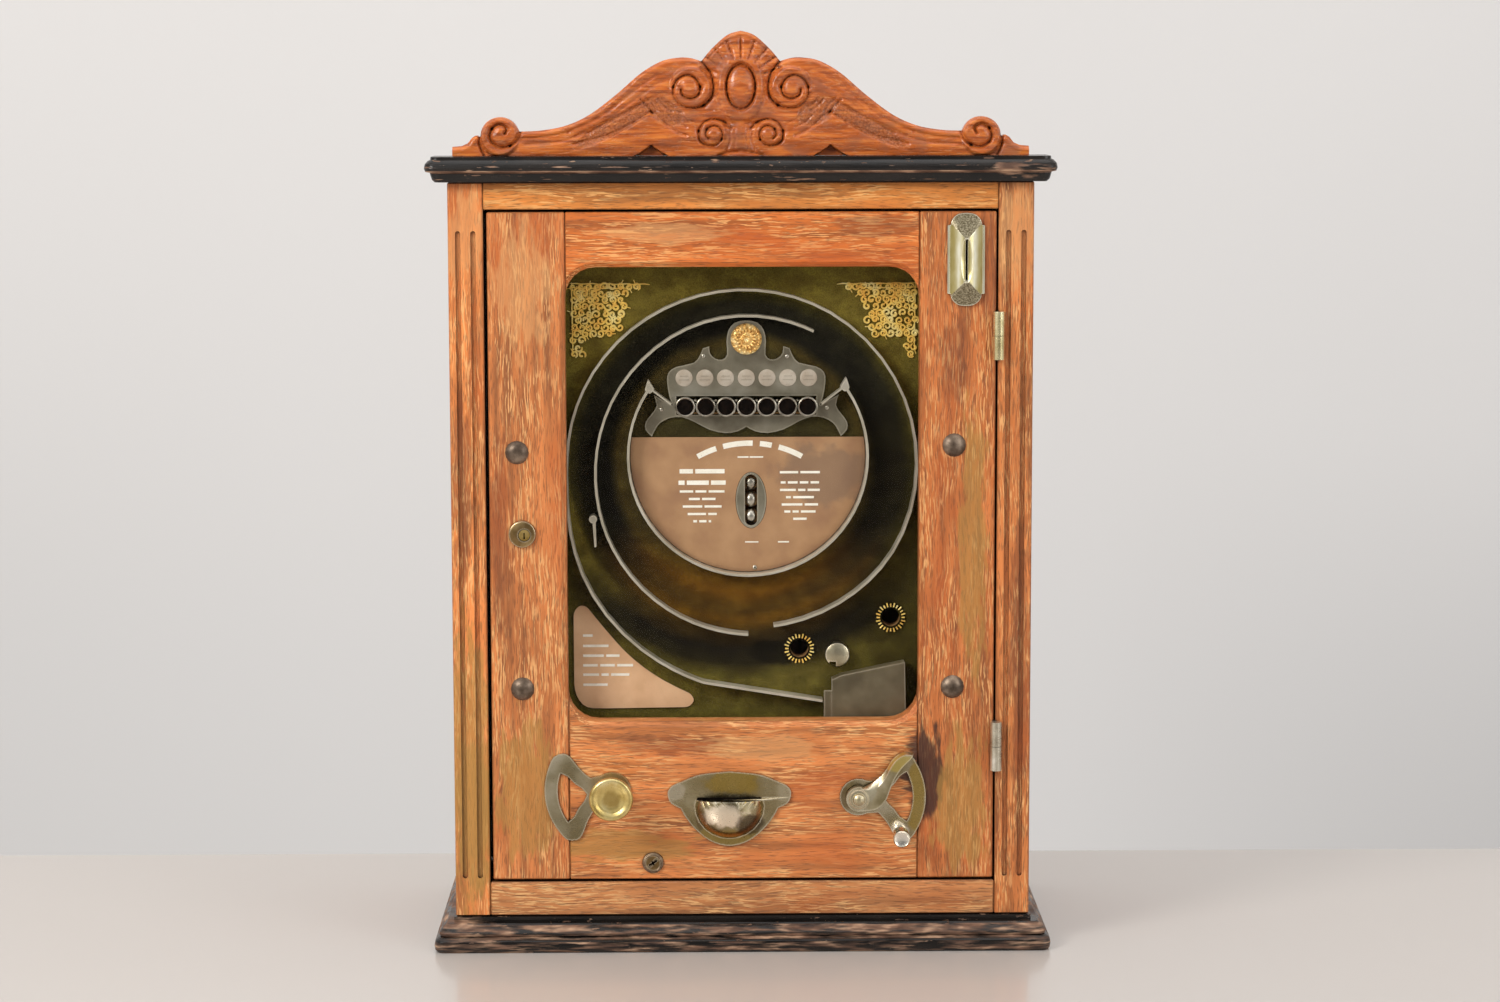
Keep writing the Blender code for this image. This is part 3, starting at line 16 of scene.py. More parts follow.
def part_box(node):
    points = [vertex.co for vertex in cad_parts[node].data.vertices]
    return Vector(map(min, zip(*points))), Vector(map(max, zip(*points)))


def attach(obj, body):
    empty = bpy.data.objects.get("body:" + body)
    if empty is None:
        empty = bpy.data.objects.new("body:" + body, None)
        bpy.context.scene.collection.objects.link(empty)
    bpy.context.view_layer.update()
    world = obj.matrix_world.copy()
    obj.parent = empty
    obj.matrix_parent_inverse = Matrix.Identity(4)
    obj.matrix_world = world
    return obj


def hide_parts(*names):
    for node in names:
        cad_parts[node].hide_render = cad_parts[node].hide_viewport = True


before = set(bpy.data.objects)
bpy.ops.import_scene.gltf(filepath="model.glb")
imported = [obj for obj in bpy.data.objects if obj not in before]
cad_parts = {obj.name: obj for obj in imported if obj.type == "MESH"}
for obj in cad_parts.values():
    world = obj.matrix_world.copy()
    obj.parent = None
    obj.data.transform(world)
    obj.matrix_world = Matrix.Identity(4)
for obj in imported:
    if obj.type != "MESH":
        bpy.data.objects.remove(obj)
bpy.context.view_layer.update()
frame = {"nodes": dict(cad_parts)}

MM = 0.001
FACE = -100.0
LOWER_LOCK = (-73.2, 70.6)


def corner(node, which):
    """A node's lowest (0) or highest (1) corner in millimetres."""
    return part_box(node)[which] / MM


def middle(node):
    """The x and z of the middle of a node."""
    both = (corner(node, 0) + corner(node, 1)) / 2
    return both.x, both.z


def srgb(red, green, blue):
    """A display colour, 0 to 255, as the linear colour that the shaders take."""
    channels = []
    for value in (red, green, blue):
        share = value / 255
        channels.append(share / 12.92 if share < 0.04 else ((share + 0.055) / 1.055) ** 2.4)
    return (*channels, 1.0)


# ---------------------------------------------------------------- node materials


class Look:
    """A node material under construction. Methods add nodes and return output sockets."""

    def __init__(self, name, roughness=0.5, metallic=0.0):
        self.material = bpy.data.materials.new(name)
        self.material.use_nodes = True
        self.tree = self.material.node_tree
        self.shader = self.tree.nodes["Principled BSDF"]
        self.feed(self.shader.inputs["Roughness"], roughness)
        self.feed(self.shader.inputs["Metallic"], metallic)
        place = self.add("ShaderNodeTexCoord").outputs["Object"]
        self.place = self.vector("MULTIPLY", place, (1 / MM,) * 3)
        axes = self.add("ShaderNodeSeparateXYZ")
        self.feed(axes.inputs[0], self.place)
        self.x, self.y, self.z = axes.outputs

    def add(self, kind, **settings):
        node = self.tree.nodes.new(kind)
        for key, value in settings.items():
            setattr(node, key, value)
        return node

    def feed(self, socket, value):
        if isinstance(value, bpy.types.NodeSocket):
            self.tree.links.new(value, socket)
        else:
            socket.default_value = value

    def vector(self, operation, first, second):
        node = self.add("ShaderNodeVectorMath", operation=operation)
        self.feed(node.inputs[0], first)
        self.feed(node.inputs[1], second)
        return node.outputs[0]

    def math(self, operation, first, second=0.0):
        node = self.add("ShaderNodeMath", operation=operation)
        self.feed(node.inputs[0], first)
        self.feed(node.inputs[1], second)
        return node.outputs[0]

    def noise(self, size, stretch=(1, 1, 1), detail=2.0, seed=0.0, place=None):
        """Noise with features of this many millimetres, stretched along each axis."""
        scale = tuple(1 / (size * reach) for reach in stretch)
        spot = self.vector("MULTIPLY", self.place if place is None else place, scale)
        spot = self.vector("ADD", spot, (seed * 7.31, seed * 3.77, seed * 5.13))
        node = self.add("ShaderNodeTexNoise")
        self.feed(node.inputs["Vector"], spot)
        self.feed(node.inputs["Scale"], 1.0)
        self.feed(node.inputs["Detail"], detail)
        return node.outputs[0]

    def band(self, value, start, end):
        """Rises smoothly from 0 at start to 1 at end; start may be the larger."""
        node = self.add("ShaderNodeMapRange", interpolation_type="SMOOTHSTEP")
        low, high = min(start, end), max(start, end)
        self.feed(node.inputs["Value"], value)
        self.feed(node.inputs["From Min"], low)
        self.feed(node.inputs["From Max"], high)
        self.feed(node.inputs["To Min"], 0.0 if start < end else 1.0)
        self.feed(node.inputs["To Max"], 1.0 if start < end else 0.0)
        return node.outputs[0]

    def mix(self, factor, first, second, blend="MIX"):
        node = self.add("ShaderNodeMix", data_type="RGBA", blend_type=blend)
        self.feed(node.inputs[0], factor)
        self.feed(node.inputs[6], first)
        self.feed(node.inputs[7], second)
        return node.outputs[2]

    def blend(self, value, *stops):
        """A colour ramp through stops of (position, display colour)."""
        node = self.add("ShaderNodeValToRGB")
        ramp = node.color_ramp
        while len(ramp.elements) < len(stops):
            ramp.elements.new(0.5)
        for element, (position, colour) in zip(ramp.elements, stops):
            element.position = position
            element.color = srgb(*colour)
        self.feed(node.inputs[0], value)
        return node.outputs[0]

    def spread(self, centre, radii, ragged=0.5, size=8.0, seed=0.0, stretch=(1, 1, 1)):
        """1 inside an uneven oval patch in x and z, falling to 0 at its edge."""
        across = self.math("DIVIDE", self.math("SUBTRACT", self.x, centre[0]), radii[0])
        up = self.math("DIVIDE", self.math("SUBTRACT", self.z, centre[1]), radii[1])
        square = self.math("ADD", self.math("MULTIPLY", across, across), self.math("MULTIPLY", up, up))
        wobble = self.math("MULTIPLY", self.noise(size, stretch, 4.0, seed), 2 * ragged)
        reach = self.math("ADD", self.math("SQRT", square), wobble)
        return self.band(reach, 1.1 + ragged, 0.7 + ragged)

    def occlusion_shade(self, distance):
        """Ambient occlusion: 1 in the open and 0 in close corners, within this many millimetres.
        Colour darkened by it is painted shade.
        """
        node = self.add("ShaderNodeAmbientOcclusion", samples=6)
        self.feed(node.inputs["Distance"], distance * MM)
        return node.outputs["AO"]

    def rims(self, reach):
        """1 on the edges of a plate, over this many millimetres, and 0 on its flats."""
        rounded = self.add("ShaderNodeBevel", samples=4)
        self.feed(rounded.inputs["Radius"], reach * MM)
        plain = self.add("ShaderNodeNewGeometry").outputs["Normal"]
        match = self.add("ShaderNodeVectorMath", operation="DOT_PRODUCT")
        self.feed(match.inputs[0], rounded.outputs[0])
        self.feed(match.inputs[1], plain)
        return self.band(match.outputs["Value"], 0.995, 0.96)

    def worn(self, colour, zones):
        """Lays uneven ovals of (centre, radii, display colour, strength) over a colour: wear, and on
        the payout bowl painted highlight and shade.
        """
        for i, (centre, radii, shade, strength) in enumerate(zones):
            inside = self.spread(centre, radii, 0.6, 9.0, 2.0 + i)
            colour = self.mix(self.math("MULTIPLY", inside, strength), colour, srgb(*shade))
        return colour

    def paint(self, colour, roughness=None):
        self.feed(self.shader.inputs["Base Color"], colour)
        if roughness is not None:
            self.feed(self.shader.inputs["Roughness"], roughness)

    def relief(self, height, depth):
        """Bumps the surface by a height from 0 to 1 that stands for this many millimetres."""
        node = self.add("ShaderNodeBump")
        self.feed(node.inputs["Strength"], 1.0)
        self.feed(node.inputs["Distance"], depth * MM)
        self.feed(node.inputs["Height"], height)
        self.feed(self.shader.inputs["Normal"], node.outputs[0])


PATCHES = {
    "stain": ((62, 34, 24), 0.9),
    "olive": ((178, 134, 66), 0.6),
    "pale": ((230, 172, 112), 0.42),
    "dark": ((116, 60, 34), 0.42),
}


def oak(name, box, grain, tone, seed, patches=(), contrast=1.0):
    """Worn, limed oak on one board: grain along x or z, with dirt along the board's edges."""
    look = Look(name)
    upright = grain == "z"
    stretch = (1, 1, 20) if upright else (20, 1, 1)
    fibre = (1, 1, 13) if upright else (13, 1, 1)
    short = (1, 1, 4) if upright else (4, 1, 1)
    shift = look.math("MULTIPLY", look.noise(52.0, seed=seed), 7.0)
    bend = look.add("ShaderNodeCombineXYZ")
    look.feed(bend.inputs[0 if upright else 2], shift)
    place = look.vector("ADD", look.place, bend.outputs[0])
    broad = look.noise(7.0, stretch, 4.0, seed + 1, place)
    deep = tuple(0.78 * channel for channel in tone)
    light = tuple(min(255, 1.1 * channel + 6) for channel in tone)
    colour = look.blend(broad, (0.32, deep), (0.5, tone), (0.68, light))
    cluster = look.band(look.noise(16.0, short, 3.0, seed + 2), 0.36, 0.6)
    fleck = look.band(look.noise(1.15, fibre, 2.0, seed + 3, place), 0.52, 0.57)
    pale = tuple(min(255, 0.52 * channel + limed) for channel, limed in zip(tone, (136, 118, 84)))
    strength = look.math("MULTIPLY", look.math("MULTIPLY", fleck, cluster), 0.9 * contrast)
    colour = look.mix(strength, colour, srgb(*pale))
    pore = look.band(look.noise(0.9, fibre, 2.0, seed + 4, place), 0.54, 0.66)
    dark = tuple(0.58 * channel for channel in tone)
    colour = look.mix(look.math("MULTIPLY", pore, 0.6 * contrast), colour, srgb(*dark))
    redder = look.band(look.noise(24.0, short, 3.0, seed + 6), 0.5, 0.7)
    rust = (0.94 * tone[0], 0.78 * tone[1], 0.6 * tone[2])
    colour = look.mix(look.math("MULTIPLY", redder, 0.55), colour, srgb(*rust))
    low, high = box
    sides = []
    wide = (look.x, low.x, high.x)
    if high.x - low.x < high.y - low.y:
        wide = (look.y, low.y, high.y)
    for axis, start, end in (wide, (look.z, low.z, high.z)):
        centre, half = (start + end) / 2, (end - start) / 2
        away = look.math("ABSOLUTE", look.math("SUBTRACT", axis, centre))
        sides.append(look.math("SUBTRACT", half, away))
    edge = look.math("MINIMUM", *sides)
    edge = look.math("ADD", edge, look.math("MULTIPLY", look.noise(5.0, seed=seed), 3.0))
    colour = look.mix(look.band(edge, 3.2, 1.2), colour, srgb(*deep))
    for i, (kind, centre, radii) in enumerate(patches):
        shade, amount = PATCHES[kind]
        inside = look.spread(centre, radii, 1.0, 6.0, seed + i, short)
        colour = look.mix(look.math("MULTIPLY", inside, amount), colour, srgb(*shade))
    # Ambient occlusion darkens the board in corners and against other parts: painted shade.
    shaded_corners = look.occlusion_shade(6.0)
    colour = look.mix(look.band(shaded_corners, 0.7, 0.2), colour, srgb(52, 26, 15))
    look.paint(colour, look.math("SUBTRACT", 0.56, look.math("MULTIPLY", broad, 0.3)))
    rough = look.math("SUBTRACT", look.math("MULTIPLY", fleck, 0.35), pore)
    look.relief(rough, 0.16)
    return look.material


def carved_oak():
    """Varnished carved oak; the mesh attribute "tooled" marks the sunk, punched ground."""
    look = Look("carved_oak_grain")
    streak = look.noise(2.6, (12, 1, 1), 4.0, 2)
    colour = look.blend(streak, (0.3, (142, 68, 30)), (0.5, (192, 98, 42)), (0.72, (226, 132, 60)))
    fleck = look.band(look.noise(0.9, (12, 1, 1), 2.0, 4), 0.56, 0.68)
    colour = look.mix(look.math("MULTIPLY", fleck, 0.5), colour, srgb(222, 146, 88))
    dust = look.band(look.noise(12.0, (1.8, 1, 1), 3.0, 5), 0.48, 0.68)
    colour = look.mix(look.math("MULTIPLY", dust, 0.5), colour, srgb(140, 84, 58))
    ground = look.add("ShaderNodeAttribute", attribute_name="tooled").outputs["Fac"]
    punched = look.noise(1.5, detail=1.0, seed=9)
    dull = look.blend(punched, (0.4, (112, 66, 42)), (0.6, (176, 108, 68)))
    colour = look.mix(look.math("MULTIPLY", ground, 0.5), colour, dull)
    # Ambient occlusion darkens the carving's grooves and undercuts: painted shade.
    colour = look.mix(look.band(look.occlusion_shade(2.6), 0.72, 0.1), colour, srgb(50, 24, 14))
    look.paint(colour, look.math("ADD", 0.22, look.math("MULTIPLY", dust, 0.25)))
    look.relief(look.math("SUBTRACT", look.noise(1.6, (9, 1, 1), 3.0, 8), fleck), 0.2)
    return look.material


def ebonised(name, bands, zones=(), soft=0.07):
    """Black stained wood. Bands of (low, high, share) are rubbed back to the brown wood, with
    edges as soft as asked."""
    look = Look(name)
    broken = look.noise(3.0, (9, 9, 1), 5.0, 3)
    wear = look.math("MULTIPLY", look.band(look.noise(2.0, (5, 5, 1), 3.0, 9), 0.66, 0.7), 0.7)
    for low, high, share in bands:
        above = look.band(look.z, low - 0.5, low + 0.3)
        below = look.band(look.z, high + 0.5, high - 0.3)
        limit = 0.68 - 0.3 * share
        torn = look.math("MULTIPLY", above, below)
        torn = look.math("MULTIPLY", torn, look.band(broken, limit, limit + soft))
        wear = look.math("MAXIMUM", wear, torn)
    for centre, radii in zones:
        inside = look.spread(centre, radii, 1.0, 5.0, 4.0, (3, 3, 1))
        patchy = look.band(broken, 0.38, 0.42 + soft)
        wear = look.math("MAXIMUM", wear, look.math("MULTIPLY", inside, patchy))
    tint = look.noise(4.0, (5, 5, 1), 3.0, 6)
    bare = look.blend(tint, (0.34, (88, 62, 48)), (0.5, (128, 96, 76)), (0.7, (200, 162, 132)))
    black = look.blend(look.noise(9.0, (4, 4, 1), 3.0, 1), (0.35, (14, 11, 9)), (0.7, (34, 28, 24)))
    look.feed(look.shader.inputs["Specular IOR Level"], 0.4)
    look.paint(look.mix(wear, black, bare), look.math("ADD", 0.26, look.math("MULTIPLY", wear, 0.4)))
    look.relief(look.math("SUBTRACT", look.noise(1.4, (10, 10, 1), 2.0, 7), wear), 0.18)
    return look.material


def pine():
    """Plain softwood of the hidden boards."""
    look = Look("raw_pine", 0.7)
    ring = look.noise(7.0, (1, 1, 18), 3.0, 3)
    colour = look.blend(ring, (0.3, (120, 82, 48)), (0.5, (168, 124, 78)), (0.7, (192, 150, 100)))
    # Ambient occlusion darkens the boards near corners and other parts: painted shade.
    look.paint(look.mix(look.band(look.occlusion_shade(20.0), 0.8, 0.2), colour, srgb(60, 42, 28)))
    look.relief(look.noise(1.2, (1, 1, 20), 2.0, 4), 0.15)
    return look.material


def velvet(track_centre, face):
    """Olive velvet, crushed and browned in rings where the balls run and the light falls, with painted
    shadow of the track strips in the dark rings and painted shade on its right, on a wooden board that
    shows behind its face."""
    look = Look("olive_velvet", 1.0)
    across = look.math("SUBTRACT", look.x, track_centre[0])
    up = look.math("SUBTRACT", look.z, track_centre[1])
    square = look.math("ADD", look.math("MULTIPLY", across, across), look.math("MULTIPLY", up, up))
    wobble = look.math("MULTIPLY", look.noise(30.0, seed=2), 8.0)
    radius = look.math("SUBTRACT", look.math("ADD", look.math("SQRT", square), wobble), 4.0)
    share = look.math("DIVIDE", radius, 200.0)
    # The near-black rings inside the outer track are ball-lane dirt together with painted shadow of
    # the track strips.
    upper = look.blend(
        share,
        (0.30, (88, 80, 46)),
        (0.47, (92, 80, 44)),
        (0.505, (100, 84, 42)),
        (0.53, (68, 60, 36)),
        (0.55, (42, 39, 30)),
        (0.595, (45, 42, 31)),
        (0.66, (60, 56, 40)),
        (0.70, (92, 84, 42)),
        (0.725, (164, 146, 65)),
    )
    lower = look.blend(
        share,
        (0.30, (118, 86, 30)),
        (0.485, (154, 106, 28)),
        (0.53, (170, 114, 30)),
        (0.575, (126, 90, 32)),
        (0.61, (112, 82, 32)),
        (0.645, (140, 98, 32)),
        (0.70, (92, 72, 34)),
        (0.77, (44, 39, 28)),
        (0.83, (60, 53, 32)),
        (0.90, (138, 124, 56)),
    )
    colour = look.mix(look.band(look.z, 350.0, 262.0), upper, lower)
    # Painted shade: darker towards the upper right of the board.
    shade = look.math("MULTIPLY", look.band(look.x, 70.0, 128.0), look.band(look.z, 470.0, 400.0))
    colour = look.mix(look.math("MULTIPLY", shade, 0.5), colour, srgb(44, 37, 15))
    for centre, radii, amount in (
        ((30.0, 238.0), (26.0, 11.0), 0.85),
        ((110.0, 258.0), (26.0, 14.0), 0.4),
    ):
        dark = look.math("MULTIPLY", look.spread(centre, radii, 0.4, seed=1), amount)
        colour = look.mix(dark, colour, srgb(34, 29, 18))
    nap = look.noise(11.0, (1.3, 1, 1), 4.0, 5)
    lift = look.blend(nap, (0.32, (174, 172, 172)), (0.5, (196, 196, 196)), (0.7, (226, 228, 218)))
    colour = look.mix(1.0, colour, lift, "MULTIPLY")
    fine = look.noise(0.8, (1, 1, 1), 2.0, 6)
    grain = look.blend(fine, (0.3, (170, 170, 170)), (0.7, (255, 255, 255)))
    colour = look.mix(0.8, colour, grain, "MULTIPLY")
    board = look.noise(5.0, (14, 1, 1), 3.0, 8)
    wood = look.blend(board, (0.35, (128, 92, 56)), (0.65, (176, 136, 88)))
    look.paint(look.mix(look.band(look.y, face + 0.4, face + 0.6), colour, wood))
    look.feed(look.shader.inputs["Specular IOR Level"], 0.1)
    look.feed(look.shader.inputs["Sheen Weight"], 0.03)
    look.feed(look.shader.inputs["Sheen Tint"], srgb(150, 140, 60))
    look.relief(look.math("ADD", fine, nap), 0.5)
    return look.material


def card(name, shades, smudge_centre, smudge_radii):
    """Brown printed card with painted shade at its edges, where other parts close round it, and
    smudged in one place.
    """
    look = Look(name, 0.55)
    dark, usual, pale = shades
    slow = look.noise(26.0, detail=4.0, seed=3)
    colour = look.blend(slow, (0.3, dark), (0.5, usual), (0.7, pale))
    smudge = look.spread(smudge_centre, smudge_radii, 0.7, 14.0, 4)
    colour = look.mix(look.math("MULTIPLY", smudge, 0.62), colour, srgb(124, 100, 80))
    speck = look.band(look.noise(1.3, detail=3.0, seed=7), 0.68, 0.74)
    colour = look.mix(look.math("MULTIPLY", speck, 0.4), colour, srgb(106, 82, 62))
    # Ambient occlusion darkens the card near its edges and the parts round it: painted shade.
    colour = look.mix(look.band(look.occlusion_shade(9.0), 0.8, 0.3), colour, srgb(96, 68, 50))
    look.paint(colour)
    look.relief(look.noise(0.6, detail=2.0), 0.05)
    return look.material


def enamel(name, first, second, roughness):
    """Pale printed paint or paper with an uneven tint and fine specks of dirt."""
    look = Look(name, roughness)
    colour = look.blend(look.noise(11.0, detail=3.0, seed=2), (0.35, first), (0.65, second))
    speck = look.band(look.noise(0.9, detail=2.0, seed=5), 0.66, 0.74)
    look.paint(look.mix(look.math("MULTIPLY", speck, 0.5), colour, srgb(112, 100, 82)))
    look.relief(look.noise(1.0, detail=2.0), 0.06)
    return look.material


def metal(name, shades, roughness, size=16.0, speck=0.4, zones=(), metallic=1.0, corner_shade=0.7, rim=0.0):
    """Old metal: shades from dull to bright over a slow noise, painted shade in corners, pits, scuffs.
    The share rim says how strongly a painted highlight brightens its edges."""
    look = Look(name, roughness, metallic)
    dirt = tuple(0.34 * channel for channel in shades[0])
    slow = look.noise(size, detail=4.0, seed=len(name))
    dull, usual, bright = shades
    colour = look.blend(slow, (0.32, dull), (0.5, usual), (0.68, bright))
    colour = look.worn(colour, zones)
    pits = look.band(look.noise(0.9, detail=3.0, seed=4), 0.6, 0.72)
    colour = look.mix(look.math("MULTIPLY", pits, speck), colour, srgb(*dirt))
    # Ambient occlusion darkens corners towards the dirt colour: painted shade.
    shaded_corners = look.band(look.occlusion_shade(2.4), 0.7, 0.15)
    colour = look.mix(look.math("MULTIPLY", shaded_corners, corner_shade), colour, srgb(*dirt))
    # rim paints a pale highlight along the edges.
    if rim:
        edge_glint = look.math("MULTIPLY", look.rims(2.0), rim)
        colour = look.mix(edge_glint, colour, srgb(250, 240, 214))
    scuff = look.noise(1.0, (14, 1, 2), 2.0, 6)
    uneven = look.math("ADD", look.math("MULTIPLY", slow, 0.2), look.math("MULTIPLY", pits, 0.2))
    uneven = look.math("ADD", uneven, look.math("MULTIPLY", scuff, 0.1))
    look.paint(colour, look.math("ADD", uneven, roughness - 0.15))
    look.relief(look.math("SUBTRACT", look.math("MULTIPLY", scuff, 0.3), pits), 0.04)
    return look.material


def coin_metal(centre):
    """Polished pale brass on the slopes beside the slot, with painted highlights in streaks across
    them and along the edges, pitted grey-brown on the end facets, with painted shade in the corners.
    """
    look = Look("coin_plate_metal", 0.24, 0.6)
    across = look.math("ABSOLUTE", look.math("SUBTRACT", look.x, centre[0]))
    along = look.math("ABSOLUTE", look.math("SUBTRACT", look.z, centre[1]))
    # The ramp across each slope paints its highlight streaks and darker bands.
    bright = look.blend(
        look.math("DIVIDE", across, 15.0),
        (0.08, (168, 156, 100)),
        (0.24, (236, 226, 182)),
        (0.42, (255, 252, 236)),
        (0.66, (206, 194, 142)),
        (0.84, (186, 174, 120)),
        (0.95, (255, 252, 232)),
    )
    slow = look.noise(7.0, (1, 1, 3), 3.0, 2)
    tone = look.blend(slow, (0.34, (226, 220, 190)), (0.6, (255, 255, 250)))
    bright = look.mix(1.0, bright, tone, "MULTIPLY")
    fine = look.noise(1.1, detail=4.0, seed=5)
    dull = look.blend(fine, (0.36, (96, 84, 60)), (0.5, (140, 130, 104)), (0.66, (186, 176, 148)))
    mitre = look.math("SUBTRACT", along, look.math("MULTIPLY", across, 1.04))
    ends = look.band(mitre, 15.4, 16.2)
    colour = look.mix(ends, bright, dull)
    # Painted shade in the corners by ambient occlusion, and a painted highlight along the edges.
    colour = look.mix(look.band(look.occlusion_shade(2.0), 0.5, 0.1), colour, srgb(46, 38, 20))
    colour = look.mix(look.rims(1.2), colour, srgb(255, 250, 226))
    look.paint(colour, look.math("ADD", 0.2, look.math("MULTIPLY", ends, 0.2)))
    look.relief(look.math("MULTIPLY", fine, ends), 0.1)
    return look.material


def painted_hole_shade():
    """Painted shade: a nearly black surface with a little dust, for the unlit inside of a hole."""
    look = Look("hole_shade_black", 0.8)
    look.feed(look.shader.inputs["Specular IOR Level"], 0.05)
    look.paint(look.blend(look.noise(3.0), (0.4, (10, 7, 5)), (0.7, (26, 17, 11))))
    return look.material


def clear_glass():
    """A thin pane: light goes straight through, with a faint uneven reflection."""
    look = Look("clear_pane", 0.04)
    clear = look.add("ShaderNodeBsdfTransparent")
    shine = look.add("ShaderNodeBsdfGlossy")
    look.feed(shine.inputs["Roughness"], 0.06)
    haze = look.math("MULTIPLY", look.noise(70.0, detail=3.0), 0.006)
    both = look.add("ShaderNodeMixShader")
    look.feed(both.inputs[0], haze)
    look.feed(both.inputs[1], clear.outputs[0])
    look.feed(both.inputs[2], shine.outputs[0])
    look.feed(look.tree.nodes["Material Output"].inputs["Surface"], both.outputs[0])
    return look.material


def stage_paint(name, colour, roughness, coat):
    """Smooth studio paint that is seen from its front and is clear from behind."""
    look = Look(name, roughness)
    soft = look.noise(900.0, detail=1.0)
    shade = look.blend(soft, (0.3, colour), (0.7, tuple(c + 3 for c in colour)))
    look.paint(shade)
    look.feed(look.shader.inputs["Coat Weight"], coat)
    look.feed(look.shader.inputs["Coat Roughness"], 0.12)
    choice = look.add("ShaderNodeMixShader")
    look.feed(choice.inputs[0], look.add("ShaderNodeNewGeometry").outputs["Backfacing"])
    look.feed(choice.inputs[1], look.shader.outputs[0])
    look.feed(choice.inputs[2], look.add("ShaderNodeBsdfTransparent").outputs[0])
    look.feed(look.tree.nodes["Material Output"].inputs["Surface"], choice.outputs[0])
    return look.material


# ---------------------------------------------------------------- shapes


def polar(centre, radius, degrees):
    angle = math.radians(degrees)
    return (centre[0] + radius * math.cos(angle), centre[1] + radius * math.sin(angle))


def arc(centre, radius, start, end, steps):
    turn = (end - start) / steps
    return [polar(centre, radius, start + turn * i) for i in range(steps + 1)]


def flowing(points, steps=8):
    """A smooth open curve through points in x and z."""
    curve = []
    last = len(points) - 1
    for i in range(last):
        near = (points[max(i - 1, 0)], points[i], points[i + 1], points[min(i + 2, last)])
        a, b, c, d = (Vector(point) for point in near)
        for k in range(steps):
            t = k / steps
            bend = (2 * a - 5 * b + 4 * c - d) * t * t + (3 * b - a - 3 * c + d) * t**3
            curve.append(tuple(0.5 * (2 * b + (c - a) * t + bend)))
    return curve + [tuple(points[-1])]


def piece(name, bm, material, body, stands_for=(), sharp=35.0):
    """A mesh drawn in millimetres becomes a shaded piece that rides on a CAD body."""
    bmesh.ops.remove_doubles(bm, verts=bm.verts, dist=0.0005)
    bmesh.ops.recalc_face_normals(bm, faces=bm.faces)
    bmesh.ops.scale(bm, vec=(MM, MM, MM), verts=bm.verts)
    mesh = bpy.data.meshes.new(name)
    bm.to_mesh(mesh)
    bm.free()
    mesh.materials.append(material)
    mesh.shade_smooth()
    mesh.set_sharp_from_angle(angle=math.radians(sharp))
    obj = bpy.data.objects.new(name, mesh)
    bpy.context.scene.collection.objects.link(obj)
    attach(obj, body)
    if stands_for:
        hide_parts(*stands_for)


def grid(bm, rows, around=False):
    """Faces between rows of points; rows close on themselves if they go around."""
    made = [[bm.verts.new(point) for point in row] for row in rows]
    for low, high in zip(made, made[1:]):
        count = len(low)
        for i in range(count if around else count - 1):
            j = (i + 1) % count
            bm.faces.new((low[i], low[j], high[j], high[i]))
    return made


def turned(bm, place, profile, base, steps=64, height=None):
    """A closed turned solid facing the front. The profile holds (radius, height in front of
    base) from its centre to its back, and height(radius, degrees) may add relief."""
    rows = []
    for radius, rise in profile:
        row = []
        for i in range(steps):
            degrees = 360 * i / steps
            x, z = polar(place, radius, degrees)
            extra = height(radius, degrees) if height else 0.0
            row.append((x, base - rise - extra, z))
        rows.append(row)
    made = grid(bm, rows, True)
    bm.faces.new(made[0])
    bm.faces.new(made[-1])


def wire(bm, path, radius, y, sides=6, taper=0.5):
    """A round wire along a path in x and z, thinner at both ends."""
    rows = []
    last = len(path) - 1
    for i, (x, z) in enumerate(path):
        before, after = Vector(path[max(i - 1, 0)]), Vector(path[min(i + 1, last)])
        along = (after - before).normalized()
        size = radius * (taper if i in (0, last) else 1.0)
        row = []
        for k in range(sides):
            turn = 2 * math.pi * k / sides
            out = math.cos(turn) * size
            row.append((x - along.y * out, y - math.sin(turn) * size, z + along.x * out))
        rows.append(row)
    made = grid(bm, rows, True)
    bm.faces.new(made[0])
    bm.faces.new(made[-1])


def rectangle(centre, half_x, half_z):
    x, z = centre
    return [
        (x - half_x, z - half_z),
        (x + half_x, z - half_z),
        (x + half_x, z + half_z),
        (x - half_x, z + half_z),
    ]


def slab(bm, outline, front, back):
    """A flat closed piece between two y from a convex outline in x and z."""
    made = grid(bm, [[(x, y, z) for x, z in outline] for y in (front, back)], True)
    bm.faces.new(made[0])
    bm.faces.new(made[1])


# ---------------------------------------------------------------- carved crest

